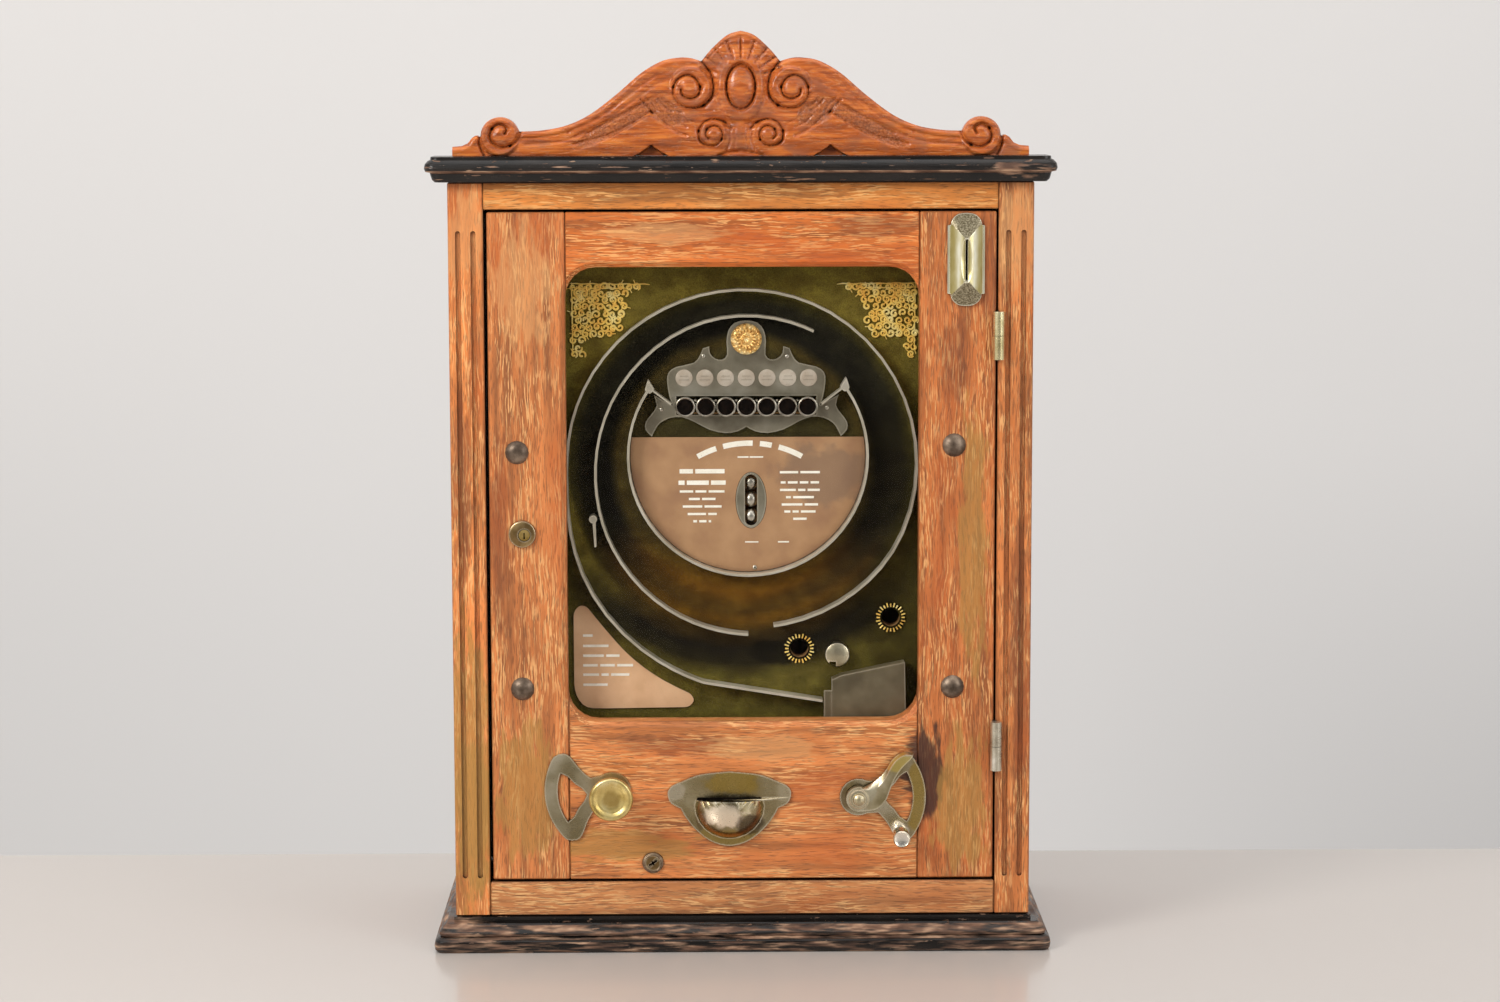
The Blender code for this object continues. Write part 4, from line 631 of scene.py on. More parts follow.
PEAK = ((0.0, 744.4), (10.9, 740.8), (23.4, 729.8), (31.3, 720.3))
SHOULDER = (
    (31.3, 720.3),
    (40.0, 722.8),
    (49.0, 723.2),
    (63.0, 720.4),
    (80.0, 710.6),
    (100.0, 693.5),
    (121.0, 678.0),
    (140.0, 669.4),
    (160.0, 665.6),
    (178.0, 664.8),
)
END_SCROLL = ((192.3, 661.0), 15.3)
END_STEP = (
    (208.2, 660.6),
    (211.2, 662.0),
    (214.5, 660.0),
    (218.0, 655.6),
    (223.0, 653.4),
    (230.2, 652.8),
)
OVAL = ((0.0, 700.3), 10.6, 16.2)
VOLUTES = (((39.8, 699.5), 16.0, 3.6), ((192.3, 661.0), 15.3, 3.4), ((22.6, 663.4), 10.6, 2.6))
GROOVES = (  # depth, half width and path of each cut, on the right half
    (3.0, 1.0, ((31.0, 720.0), (24.6, 712.0), (22.0, 702.0), (23.4, 692.0), (30.0, 685.4))),
    (3.0, 1.0, ((30.0, 685.4), (39.0, 683.4), (48.0, 686.0), (53.4, 693.0), (53.8, 700.0))),
    (3.2, 1.1, ((53.8, 700.0), (50.4, 706.2), (43.0, 709.4), (36.0, 706.6), (32.2, 700.0))),
    (3.2, 1.1, ((32.2, 700.0), (34.0, 693.6), (40.2, 690.8), (46.4, 693.4), (47.6, 698.0))),
    (2.6, 0.9, ((7.6, 667.0), (13.6, 672.4), (22.0, 674.4), (29.6, 671.6), (33.6, 665.0))),
    (2.6, 0.9, ((33.6, 665.0), (32.6, 657.6), (27.0, 653.8), (20.0, 653.8), (15.4, 658.2))),
    (2.6, 0.9, ((15.4, 658.2), (14.8, 663.6), (17.6, 668.0), (22.6, 669.2), (27.2, 666.4))),
    (2.6, 0.9, ((27.2, 666.4), (28.2, 662.0), (25.4, 659.0))),
    (3.2, 1.2, ((188.2, 663.4), (186.6, 667.2), (189.6, 670.4), (194.2, 670.6), (198.6, 667.2))),
    (3.2, 1.2, ((198.6, 667.2), (200.2, 661.0), (197.4, 655.4), (191.2, 652.4), (184.2, 653.6))),
    (3.2, 1.2, ((184.2, 653.6), (179.0, 657.6), (176.6, 664.4))),
    (2.4, 1.0, ((207.6, 662.0), (208.6, 655.0), (205.0, 646.0))),
    (0.9, 1.5, ((56.0, 713.0), (70.0, 707.6), (90.0, 692.8), (112.0, 676.6), (138.0, 664.4))),
    (0.7, 1.3, ((138.0, 664.4), (158.0, 660.4), (174.0, 659.6))),
    (0.8, 1.3, ((55.0, 706.8), (68.0, 701.6), (88.0, 687.4), (108.0, 673.0), (132.0, 661.4))),
    (1.2, 1.3, ((54.6, 694.0), (64.0, 694.6), (80.0, 686.6), (98.0, 676.0), (122.0, 663.6))),
    (0.8, 1.3, ((122.0, 663.6), (146.0, 656.6), (172.0, 654.6))),
    (1.2, 1.2, ((72.0, 680.4), (88.0, 670.4), (106.0, 662.0), (134.0, 654.6))),
    (1.6, 1.2, ((71.6, 680.2), (66.0, 677.2), (58.0, 669.4), (50.0, 664.2), (43.6, 661.4))),
    (1.7, 0.9, ((80.0, 690.2), (74.6, 684.6), (70.4, 679.2))),
    (1.2, 0.8, ((76.0, 691.6), (70.6, 686.0), (66.6, 681.0))),
    (1.6, 0.9, ((66.0, 690.2), (61.0, 684.8), (55.4, 681.2))),
    (1.1, 0.8, ((62.4, 691.4), (57.6, 686.6), (52.6, 684.0))),
    (1.2, 0.9, ((57.0, 677.4), (50.6, 671.6), (43.4, 668.2))),
    (1.0, 0.8, ((48.4, 679.6), (43.6, 674.2), (37.6, 671.6))),
    (1.0, 1.2, ((22.0, 681.6), (30.0, 679.6), (40.0, 679.2), (50.0, 681.0))),
    (1.4, 1.0, ((9.0, 664.0), (8.6, 657.0), (11.4, 649.6))),
    (0.8, 0.8, ((5.0, 667.0), (4.6, 658.0), (5.6, 651.0))),
    (1.4, 1.2, ((0.0, 672.4), (8.0, 671.4), (13.6, 672.4))),
    (1.1, 1.0, ((26.0, 722.4), (18.4, 730.4), (9.0, 737.2), (0.0, 739.6))),
    (2.4, 1.3, ((0.0, 649.4), (9.0, 648.0), (17.0, 645.6))),
)
FLUTES = (90.0, 71.0, 52.0, 36.0, 20.0)  # directions of the cuts that spread over the oval
GROUNDS = (  # sunk, tooled ground: centre, half length, half height and slope
    ((96.0, 672.0), 40.0, 6.4, -29.0),
    ((60.0, 680.0), 15.0, 9.0, 28.0),
)
NOTCH = ((71.6, 654.3), 1.15)  # blind notch in the foot: its peak, and how fast it opens


def step(value, start, end):
    """Rises smoothly from 0 at start to 1 at end, over whole arrays; start may be the larger."""
    share = np.clip((value - start) / (end - start), 0.0, 1.0)
    return share * share * (3 - 2 * share)


def distance_to(path, x, z):
    """Distance from arrays of points to a path in x and z."""
    nearest = np.full(x.shape, 1e9)
    for (x0, z0), (x1, z1) in zip(path, path[1:]):
        dx, dz = x1 - x0, z1 - z0
        t = np.clip(((x - x0) * dx + (z - z0) * dz) / (dx * dx + dz * dz + 1e-9), 0.0, 1.0)
        nearest = np.minimum(nearest, np.hypot(x - x0 - t * dx, z - z0 - t * dz))
    return nearest


def crest_outline():
    """The right half of the crest's upper edge, from its peak outwards."""
    centre, radius = END_SCROLL
    scroll = arc(centre, radius, 160, 2, 40)
    return flowing(PEAK, 10) + flowing(SHOULDER, 10)[1:-1] + scroll + list(END_STEP)


def crest_relief(x, z, top):
    """How far the carving stands in front of the board at points in x and z."""
    ax = np.abs(x)
    height = 0.35 * np.cos(z * 0.35 + ax * 0.03)
    for (cx, cz), radius, rise in VOLUTES:
        away = np.hypot(ax - cx, z - cz)
        height = height + rise * step(away, radius + 1.8, radius - 2.0)
        height = height + 0.9 * step(away, 0.62 * radius, 0.2 * radius)
    sunk = np.zeros(x.shape)
    for (cx, cz), long, tall, slope in GROUNDS:
        turn = math.radians(slope)
        u = (ax - cx) * math.cos(turn) + (z - cz) * math.sin(turn)
        v = (z - cz) * math.cos(turn) - (ax - cx) * math.sin(turn)
        sunk = np.maximum(sunk, step(np.hypot(u / long, v / tall), 1.2, 0.85))
    height = height - 1.3 * sunk
    (nx, nz), slope = NOTCH
    height = height - 7.0 * step(nz - np.abs(ax - nx) ** 0.8 * slope - z, -0.3, 0.5)
    (ox, oz), half_width, half_height = OVAL
    ring = np.hypot((x - ox) / half_width, (z - oz) / half_height)
    collar = step(ring, 2.0, 1.5) * step(ring, 1.08, 1.3)
    height = height + 2.6 * collar + 4.8 * np.sqrt(np.clip(1.02 - ring**2, 0.0, 1.0))
    height = height - 2.4 * np.exp(-(((ring - 1.1) / 0.09) ** 2))
    shell = step(np.hypot(x, z - 700.0), 22.0, 26.0) * step(ax, 34.0, 27.0)
    for direction in FLUTES:
        start = polar((0.0, 704.0), 19.0, direction)
        end = polar((0.0, 704.0), 34.0, direction)
        away = distance_to((start, end), ax, z)
        height = height - 1.7 * np.exp(-((away / 0.9) ** 2))
        height = height - 0.9 * shell * np.exp(-((away / 3.4) ** 2))
    for depth, half_width, path in GROOVES:
        away = distance_to(flowing(path, 6), ax, z)
        height = height - depth * np.exp(-((away / half_width) ** 2))
        height = height - 0.32 * depth * np.exp(-((away / (3.6 * half_width)) ** 2))
    rim = distance_to(top, ax, z)
    height = height - 1.9 * np.exp(-((rim / 1.3) ** 2)) + 0.5 * np.exp(-(((rim - 3.6) / 1.6) ** 2))
    return height, sunk


def make_crest(material):
    """The crest as one carved board: a fine front, its edges and a plain back."""
    low, high = corner("pediment", 0), corner("pediment", 1)
    board, back = low.y + 5.2, high.y
    outer = high.x
    half = np.concatenate((np.arange(0.0, 176.0, 0.9), np.arange(176.0, 210.0, 0.45)))
    half = np.concatenate((half, np.arange(210.0, outer, 0.9), (outer,)))
    columns = np.concatenate((-half[:0:-1], half))
    top = crest_outline()
    upper = np.interp(np.abs(columns), *zip(*top))
    lower = np.full(len(columns), low.z)
    rows = 92
    share = np.linspace(0.0, 1.0, rows)[:, None]
    share = share - 0.035 * np.sin(2 * math.pi * share)
    z = lower[None, :] + (upper - lower)[None, :] * share
    x = np.repeat(columns[None, :], rows, axis=0)
    height, sunk = crest_relief(x, z, top)
    tooling = np.empty(x.shape)
    for i in range(rows):
        for j in range(len(columns)):
            spot = Vector((x[i, j] * 0.45, z[i, j] * 0.8, 0.0))
            tooling[i, j] = noise.noise(spot)
    y = np.maximum(board - height - (0.14 + 0.5 * sunk) * tooling, low.y)
    bm = bmesh.new()
    front = [[(x[i, j], y[i, j], z[i, j]) for j in range(len(columns))] for i in range(rows)]
    tooled = bm.verts.layers.float.new("tooled")
    made = grid(bm, front)
    for row, marks in zip(made, sunk):
        for vertex, mark in zip(row, marks):
            vertex[tooled] = mark
    behind = [[(columns[j], back, edge[j]) for j in range(len(columns))] for edge in (lower, upper)]
    rear = grid(bm, behind)
    for i, (edge, far) in enumerate(((made[0], rear[0]), (made[-1], rear[1]))):
        for j in range(len(columns) - 1):
            bm.faces.new((edge[j], edge[j + 1], far[j + 1], far[j]))
    for j in (0, len(columns) - 1):
        side = [row[j] for row in made]
        bm.faces.new(side + [rear[1][j], rear[0][j]])
    piece("crest_carving", bm, material, "cabinet", ("pediment",), 60.0)


# ---------------------------------------------------------------- gilt ornaments


def inside(point, outline):
    """Whether a point in x and z lies within a closed outline."""
    x, z = point
    within = False
    for (x0, z0), (x1, z1) in zip(outline, outline[1:] + outline[:1]):
        if (z0 > z) != (z1 > z) and x < x0 + (z - z0) * (x1 - x0) / (z1 - z0):
            within = not within
    return within


def curl(centre, radius, start, turns, hand):
    """A scroll that winds in from its rim to its eye."""
    steps = 13
    points = []
    for i in range(steps + 1):
        share = i / steps
        size = radius * (1.0 - 0.72 * share)
        points.append(polar(centre, size, start + hand * 360 * turns * share))
    return points


def make_filigree(side, material):
    """A pierced corner of small scrolls under a straight top bar, with a trailing tail."""
    node = f"spandrel_{side}"
    low, high = corner(node, 0), corner(node, 1)
    width, tall = high.x - low.x, high.z - low.z
    hand = 1 if side == "left" else -1
    shape = (
        (0.0, 1.0),
        (0.98, 1.0),
        (0.88, 0.9),
        (0.66, 0.84),
        (0.70, 0.72),
        (0.63, 0.56),
        (0.66, 0.42),
        (0.5, 0.27),
        (0.18, 0.26),
        (0.14, 0.02),
        (0.0, 0.02),
    )

    def at(u, v):
        return (low.x + u * width if hand > 0 else high.x - u * width, low.z + v * tall)

    outline = [at(u, v) for u, v in shape]
    middle_y = (low.y + high.y) / 2
    luck = random.Random(7)
    bm = bmesh.new()
    pitch = 6.4
    for row in range(12):
        for column in range(13):
            x = low.x + 2.6 + pitch * (column + 0.5 * (row % 2))
            z = high.z - 3.4 - pitch * row * 0.86
            centre = (x + luck.uniform(-0.6, 0.6), z + luck.uniform(-0.6, 0.6))
            if not inside(centre, outline):
                continue
            size = luck.uniform(2.7, 3.5)
            start = luck.choice((0, 60, 120, 180, 240, 300)) + luck.uniform(-25, 25)
            path = curl(centre, size, start, luck.uniform(1.0, 1.4), luck.choice((-1, 1)))
            level_y = middle_y + luck.uniform(-0.3, 0.3)
            wire(bm, path, luck.uniform(0.8, 1.05), level_y)
            if luck.random() < 0.6:
                tip = polar(centre, size + 2.6, start + 180)
                wire(bm, [centre, tip], 0.85, level_y)
    for u0, v0, u1, v1 in (
        (0.0, 0.985, 1.0, 0.975),
        (0.0, 0.93, 0.72, 0.925),
        (0.02, 1.0, 0.03, 0.12),
    ):
        ends = Vector(at(u0, v0)), Vector(at(u1, v1))
        path = []
        for i in range(15):
            wave = 0.35 * math.sin(i * 2.1)
            spot = ends[0].lerp(ends[1], i / 14)
            path.append((spot.x + wave * 0.4, spot.y + wave))
        wire(bm, path, 0.6, middle_y)
    for i in range(9):
        across, down = 0.1 + 0.024 * i, 0.92 - 0.02 * i
        wire(bm, [at(across, 0.93), at(across, 0.75)], 0.36, middle_y, 5)
        wire(bm, [at(0.09, down), at(0.31, down)], 0.36, middle_y, 5)
    name = f"filigree_{side}"
    piece(name, bm, material, "door", (node,), 50.0)


def make_rosette(material):
    """A pressed rosette: a beaded rim, a ring of petals and a pierced boss."""
    centre = middle("rosette")
    low, high = corner("rosette", 0), corner("rosette", 1)
    radius = (high.x - low.x) / 2

    def pressed(r, degrees):
        turn = math.radians(degrees)
        bead = math.exp(-(((r - 0.88 * radius) / 1.1) ** 2)) * max(0.0, math.cos(15 * turn)) ** 0.7
        petal = math.exp(-(((r - 0.6 * radius) / 1.9) ** 2)) * abs(math.cos(8 * turn)) ** 0.6
        eye = math.exp(-(((r - 0.24 * radius) / 1.0) ** 2)) * (0.4 + 0.6 * abs(math.cos(4 * turn)))
        return 1.6 * bead + 2.0 * petal + 1.6 * eye

    profile = [(0.05, 2.2)]
    steps = 34
    for i in range(1, steps + 1):
        r = radius * i / steps
        cup = 2.6 * max(0.0, 1 - (r / (0.86 * radius)) ** 2)
        profile.append((r, 1.0 + 0.62 * cup))
    profile += [(radius, 0.0), (0.05, 0.0)]

    def relief(r, degrees):
        return pressed(r, degrees) if 0.2 < r < 0.995 * radius else 0.0

    bm = bmesh.new()
    turned(bm, centre, profile, high.y, 240, relief)
    piece("rosette_pressed", bm, material, "door", ("rosette",), 60.0)


def make_exit_ring(side, material, dark):
    """A dark ring round the hole that swallows a lost ball, set with small gilt teeth."""
    node = f"exit_ring_{side}"
    centre = middle(node)
    low, high = corner(node, 0), corner(node, 1)
    outer = (high.x - low.x) / 2
    hole = 8.2
    bm = bmesh.new()
    rows = []
    for r, rise in ((hole, 0.1), (hole, 0.8), (outer - 0.6, 0.6), (outer - 0.4, 0.1)):
        rows.append([(x, high.y - rise, z) for x, z in arc(centre, r, 0, 355, 71)])
    grid(bm, rows + rows[:1], True)
    piece(f"exit_seat_{side}", bm, dark, "door")
    bm = bmesh.new()
    teeth = 24
    for i in range(teeth):
        turn = 360 * i / teeth
        reach = outer - 0.1 if i % 2 else outer - 0.9
        crown = [polar(centre, hole + 0.7, turn), polar(centre, reach, turn)]
        wire(bm, crown, 0.78, high.y - 1.4, 6, 0.8)
        cap = [(0.05, 0.9), (0.5, 0.75), (0.75, 0.3), (0.8, 0.0), (0.05, 0.0)]
        turned(bm, polar(centre, reach - 0.5, turn), cap, high.y - 0.9, 8)
    piece(f"exit_teeth_{side}", bm, material, "door", (node,), 60.0)


# ---------------------------------------------------------------- labels and small fittings


def make_cup_rims(steel, dark):
    """Seven thin round rims with a black disc of painted shade in each and a bright stud between them.
    """
    low = corner("cup_tubes", 0)
    centre_x = middle("cup_tubes")[0]
    level = low.z + 8.4
    rim = [(6.6, -0.6), (6.7, 1.0), (7.3, 1.5), (8.0, 1.2), (8.3, 0.4), (8.3, -0.6)]
    hollow = [(0.05, -0.2), (6.7, -0.2), (6.7, -0.7), (0.05, -0.7)]
    stud = [(0.05, 1.2), (0.7, 1.0), (1.1, 0.5), (1.2, -0.4), (0.05, -0.4)]
    rims, hollows = bmesh.new(), bmesh.new()
    for i in range(-3, 4):
        centre = (centre_x + 16.6 * i, level)
        rows = [
            [(x, low.y + 1.6 - rise, z) for x, z in arc(centre, r, 0, 352.5, 47)] for r, rise in rim
        ]
        grid(rims, rows + rows[:1], True)
        turned(hollows, centre, hollow, low.y + 1.6, 40)
        if i < 3:
            turned(rims, (centre[0] + 8.3, level + 5.2), stud, low.y + 1.2, 16)
    piece("cup_rims", rims, steel, "door", ("cup_tubes",))
    piece("cup_hollow_shades", hollows, dark, "door")


def make_coin_plate(material, dark):
    """The faceted coin entry: two hollow-ground sides, mitred ends and a flared slot."""
    low, high = corner("coin_plate", 0), corner("coin_plate", 1)
    cx, cz = middle("coin_plate")
    half_x, half_z = (high.x - low.x) / 2, (high.z - low.z) / 2
    slot_low, slot_high, slot_half, shoulder = 546.0, 578.2, 0.9, 27.2
    x = np.concatenate([np.linspace(-half_x, -1.2, 46), [-0.9, -0.85, 0.85, 0.9]])
    x = np.concatenate([x, np.linspace(1.2, half_x, 46)])
    z = np.linspace(-half_z, half_z, 150)
    dx, dz = np.meshgrid(x, z)
    tip = np.clip((np.abs(z) - shoulder) / (half_z - shoulder), 0.0, 1.0)
    room = np.where(tip > 0, 2.0 + 10.4 * np.sqrt(1.0 - tip**2), half_x)[:, None]
    dx = np.clip(dx, -room, room)
    side = 1.5 + 8.2 * (1.0 - np.clip(np.abs(dx) / 13.4, 0.0, 1.0) ** 1.6)
    mitre = 15.8 + 1.04 * np.abs(dx)
    past = np.clip((np.abs(dz) - mitre) / (half_z - 1.2 - mitre), 0.0, 1.0)
    faces = side + (1.9 - side) * past
    level = dz + cz
    lens = 4.6 * np.sqrt(np.clip(1.0 - ((level - 562.1) / 18.0) ** 2, 0.0, 1.0))
    body = faces - np.maximum(0.0, lens - np.abs(dx)) * 0.9
    cut = (np.abs(dx) < slot_half) & (level > slot_low) & (level < slot_high)
    height = np.where(cut, 0.6, body)
    bm = bmesh.new()
    front = [
        [(cx + px, high.y - h, pz) for px, h, pz in zip(*line)] for line in zip(dx, height, level)
    ]
    back = [[(px, high.y, pz) for px, _, pz in row] for row in front]
    grid(bm, front)
    grid(bm, back)
    for first, second in ((front[0], back[0]), (front[-1], back[-1])):
        grid(bm, (first, second))
    for k in (0, -1):
        grid(bm, ([row[k] for row in front], [row[k] for row in back]))
    piece("coin_plate_facets", bm, material, "door", ("coin_plate",), 14.0)
    # A black slab in the slot: painted shade for its dark inside.
    hollow = bmesh.new()
    place = (cx, (slot_low + slot_high) / 2)
    outline = rectangle(place, slot_half + 0.2, (slot_high - slot_low) / 2)
    slab(hollow, outline, high.y - 2.4, high.y - 0.2)
    piece("coin_slot_shade", hollow, dark, "door")


def make_payout_mouth(dark):
    """A black slab of painted shade over the gap above the payout bowl."""
    centre = middle("payout_cup")[0]
    bm = bmesh.new()
    outline = [(-27.0, 122.4), (27.0, 122.4), (26.0, 125.0), (-26.0, 125.0)]
    slab(bm, [(centre + x, z) for x, z in outline], FACE - 3.0, FACE - 1.0)
    piece("payout_mouth_shade", bm, dark, "door")


def make_lock_ring(metal_look, dark):
    """The lower lock: a worn ring round a plug with a cross-shaped keyhole."""
    front = corner("lower_lock_plug", 0).y
    base = FACE - 0.2
    tall = base - front
    bm = bmesh.new()
    section = ((5.4, 0.0), (5.6, tall - 0.5), (6.8, tall + 0.1), (8.4, tall - 0.6), (8.8, 0.0))
    rows = []
    for r, rise in section:
        rows.append([(x, base - rise, z) for x, z in arc(LOWER_LOCK, r, 0, 352.5, 47)])
    grid(bm, rows + rows[:1], True)
    piece("lower_lock_ring", bm, metal_look, "lower_lock_plug")
    # The keyhole is a black slab in the plug: painted shade for the hole.
    bm = bmesh.new()
    for turn, reach in ((28, 3.6), (118, 1.8)):
        along = Vector(polar((0.0, 0.0), reach, turn))
        side = Vector(polar((0.0, 0.0), 0.6, turn + 90))
        corners = (along + side, side - along, -along - side, along - side)
        outline = [tuple(Vector(LOWER_LOCK) + step_to) for step_to in corners]
        slab(bm, outline, front - 0.25, front + 0.5)
    piece("lower_keyhole_shade", bm, dark, "lower_lock_plug")


def make_labels(paper, ink, steel):
    """Seven domed discs over the cups, each with a plain rule instead of a mark."""
    centre_x = middle("cup_tubes")[0]
    sheet = corner("cup_plate", 0).y
    for i in range(-3, 4):
        place = (centre_x + 16.9 * i, 464.5)
        bm = bmesh.new()
        dome = [(0.05, 1.1), (3.0, 1.0), (5.4, 0.75), (6.7, 0.4), (7.0, 0.0), (0.05, 0.0)]
        turned(bm, place, dome, sheet - 0.05, 40)
        piece(f"cup_label_{i + 4}", bm, paper, "door")
        bm = bmesh.new()
        for rise, reach in ((1.6, 3.4), (-1.4, 4.2)):
            bar = rectangle((place[0], place[1] + rise), reach, 0.35)
            slab(bm, bar, sheet - 1.25, sheet - 0.6)
        piece(f"cup_label_rule_{i + 4}", bm, ink, "door")
    spots = {
        "upper_left": (-30.5, 482.5),
        "upper_right": (37.5, 482.0),
        "lower_left": (-65.0, 439.0),
        "lower_right": (70.0, 440.0),
    }
    for label, place in spots.items():
        screw_head(f"sheet_screw_{label}", place, 1.7, sheet, steel)
    back = corner("instruction_plate", 0).y
    screw_head("ring_screw", (11.0, 308.5), 1.9, back, steel)


def screw_head(name, place, radius, y, material):
    """A small round-headed screw with its driver slot."""

    def nick(r, degrees):
        across = abs(r * math.sin(math.radians(degrees - 35)))
        return -0.35 * radius if across < 0.16 * radius and r > 0 else 0.0

    profile = []
    for i in range(9):
        share = i / 8
        profile.append((max(0.02, radius * share), 0.55 * radius * math.sqrt(1 - share**2)))
    profile.append((0.02, -0.05))
    bm = bmesh.new()
    turned(bm, place, profile, y, 48, lambda r, a: nick(r, a) if 0.05 < r < 0.97 * radius else 0.0)
    piece(name, bm, material, "door", sharp=50.0)


def dashes(bm, start, widths, height, front, back, gap=1.6, bend=None):
    """A row of plain dashes; bend maps (x, z) onto another line."""
    x, z = start
    for width in widths:
        steps = max(1, int(width / 2))
        low = [(x + width * i / steps, z - height / 2) for i in range(steps + 1)]
        high = [(px, z + height / 2) for px, _ in reversed(low)]
        outline = low + high
        if bend:
            outline = [bend(point) for point in outline]
        slab(bm, outline, front, back)
        x += width + gap


def make_printing(ink):
    """Rows of plain dashes where the cards carry print."""
    face = corner("instruction_plate", 0).y
    front, back = face - 0.18, face + 0.2
    bm = bmesh.new()
    centre = (7.0, 323.0)

    def over_arc(point):
        x, z = point
        return polar(centre, z, 90 - math.degrees((x - centre[0]) / 90.0))

    heading = (17.0, 25.0, 10.0, 21.0)
    length = sum(heading) + 3 * 6.0
    dashes(bm, (centre[0] - length / 2, 88.0), heading, 4.4, front, back, 6.0, over_arc)
    dashes(bm, (-3.0, 399.6), (9.0, 11.0), 1.2, front, back, 1.0)
    left_rows = (
        (388.0, 3.6, (11.0, 24.0)),
        (378.6, 3.6, (5.0, 18.0, 12.0)),
        (371.4, 1.9, (11.0, 9.0, 13.0)),
        (365.2, 1.9, (9.0, 11.0)),
        (359.0, 1.9, (16.0, 14.0)),
        (352.8, 1.9, (15.0, 7.0)),
        (346.8, 1.9, (3.0, 6.0, 2.0)),
    )
    right_rows = (
        (387.0, 1.9, (15.0, 16.0)),
        (378.6, 1.9, (4.0, 8.0, 7.0, 7.0)),
        (372.4, 1.9, (13.0, 6.0, 10.0)),
        (366.4, 1.9, (4.0, 17.0)),
        (360.4, 1.9, (17.0, 11.0)),
        (354.6, 1.9, (5.0, 5.0, 12.0)),
        (348.6, 1.9, (11.0,)),
    )
    for middle_x, rows in ((-32.0, left_rows), (48.0, right_rows)):
        for z, height, widths in rows:
            length = sum(widths) + 1.8 * (len(widths) - 1)
            dashes(bm, (middle_x - length / 2, z), widths, height, front, back, 1.8)
    dashes(bm, (3.0, 329.6), (11.0,), 0.9, front, back)
    dashes(bm, (30.0, 329.6), (9.0,), 1.2, front, back)
    piece("plate_dashes", bm, ink, "door")
    bm = bmesh.new()
    rows = (
        (252.4, (8.0,)),
        (243.8, (21.0,)),
        (235.6, (17.0, 11.0)),
        (227.6, (12.0, 12.0, 13.0)),
        (219.8, (13.0, 6.0, 15.0)),
        (211.4, (20.0,)),
    )
    for z, widths in rows:
        dashes(bm, (-130.4, z), widths, 2.1, front, back, 2.0)
    piece("card_dashes", bm, ink, "door")


def make_knob(material):
    """The dished brass knob, with a rolled rim and a ring turned in its dish."""
    centre = middle("knob")
    low, high = corner("knob", 0), corner("knob", 1)
    base = high.y
    radius = (high.x - low.x) / 2
    tall = high.y - low.y
    profile = [
        (0.05, tall - 2.5),
        (2.0, tall - 2.5),
        (6.0, tall - 2.6),
        (9.4, tall - 2.4),
        (10.0, tall - 2.0),
        (10.8, tall - 2.0),
        (11.6, tall - 1.6),
        (13.2, tall - 0.6),
        (14.6, tall - 0.1),
        (15.8, tall),
        (16.8, tall - 0.6),
        (17.5, tall - 1.7),
        (radius, tall - 3.4),
        (17.6, tall - 5.2),
        (16.6, tall - 7.0),
        (14.4, tall - 8.7),
        (10.6, tall - 10.2),
        (8.4, tall - 11.6),
        (7.4, tall - 14.8),
        (7.6, 6.0),
        (8.0, 2.6),
        (9.2, 0.9),
        (9.2, 0.0),
        (0.05, 0.0),
    ]
    bm = bmesh.new()
    turned(bm, centre, profile, base, 72)
    piece("knob_brass", bm, material, "knob", ("knob",), 40.0)


# ---------------------------------------------------------------- materials on the CAD nodes


def board_patches(node):
    """Stains and worn spots that belong to one board, as kind, centre and radii."""
    known = {
        "door_stile_right": (
            ("stain", (150.0, 143.0), (17.0, 38.0)),
            ("olive", (178.0, 120.0), (24.0, 60.0)),
            ("olive", (188.0, 330.0), (12.0, 110.0)),
            ("dark", (198.0, 560.0), (8.0, 50.0)),
            ("dark", (170.0, 480.0), (12.0, 40.0)),
        ),
        "door_rail_bottom": (
            ("stain", (150.0, 143.0), (17.0, 38.0)),
            ("olive", (-96.0, 84.0), (60.0, 14.0)),
            ("dark", (-60.0, 168.0), (50.0, 9.0)),
            ("pale", (20.0, 165.0), (50.0, 12.0)),
        ),
        "door_stile_left": (
            ("pale", (-176.0, 540.0), (24.0, 50.0)),
            ("olive", (-176.0, 130.0), (26.0, 60.0)),
            ("dark", (-196.0, 340.0), (8.0, 90.0)),
        ),
        "door_rail_top": (
            ("pale", (-60.0, 584.0), (60.0, 8.0)),
            ("dark", (110.0, 590.0), (40.0, 9.0)),
        ),
        "pilaster_left": (
            ("olive", (-220.0, 150.0), (20.0, 120.0)),
            ("olive", (-220.0, 110.0), (18.0, 70.0)),
            ("dark", (-226.0, 380.0), (9.0, 90.0)),
            ("pale", (-220.0, 580.0), (20.0, 44.0)),
        ),
        "pilaster_right": (
            ("dark", (226.0, 250.0), (9.0, 120.0)),
            ("pale", (220.0, 580.0), (20.0, 44.0)),
        ),
    }
    return known.get(node, ())


BOARDS = {  # grain direction and tone of each oak board
    "door_stile_left": ("z", (204, 122, 66)),
    "door_stile_right": ("z", (196, 112, 57)),
    "door_rail_top": ("x", (214, 116, 50)),
    "door_rail_bottom": ("x", (210, 127, 68)),
    # frame_rail_top's tone is set lighter to make up for the cornice's shadow on it: painted light.
    "frame_rail_top": ("x", (220, 136, 62)),
    "frame_rail_bottom": ("x", (196, 128, 76)),
    "pilaster_left": ("z", (226, 136, 72)),
    "pilaster_right": ("z", (206, 122, 64)),
    "side_panel_left": ("z", (178, 102, 50)),
    "side_panel_right": ("z", (178, 102, 50)),
}


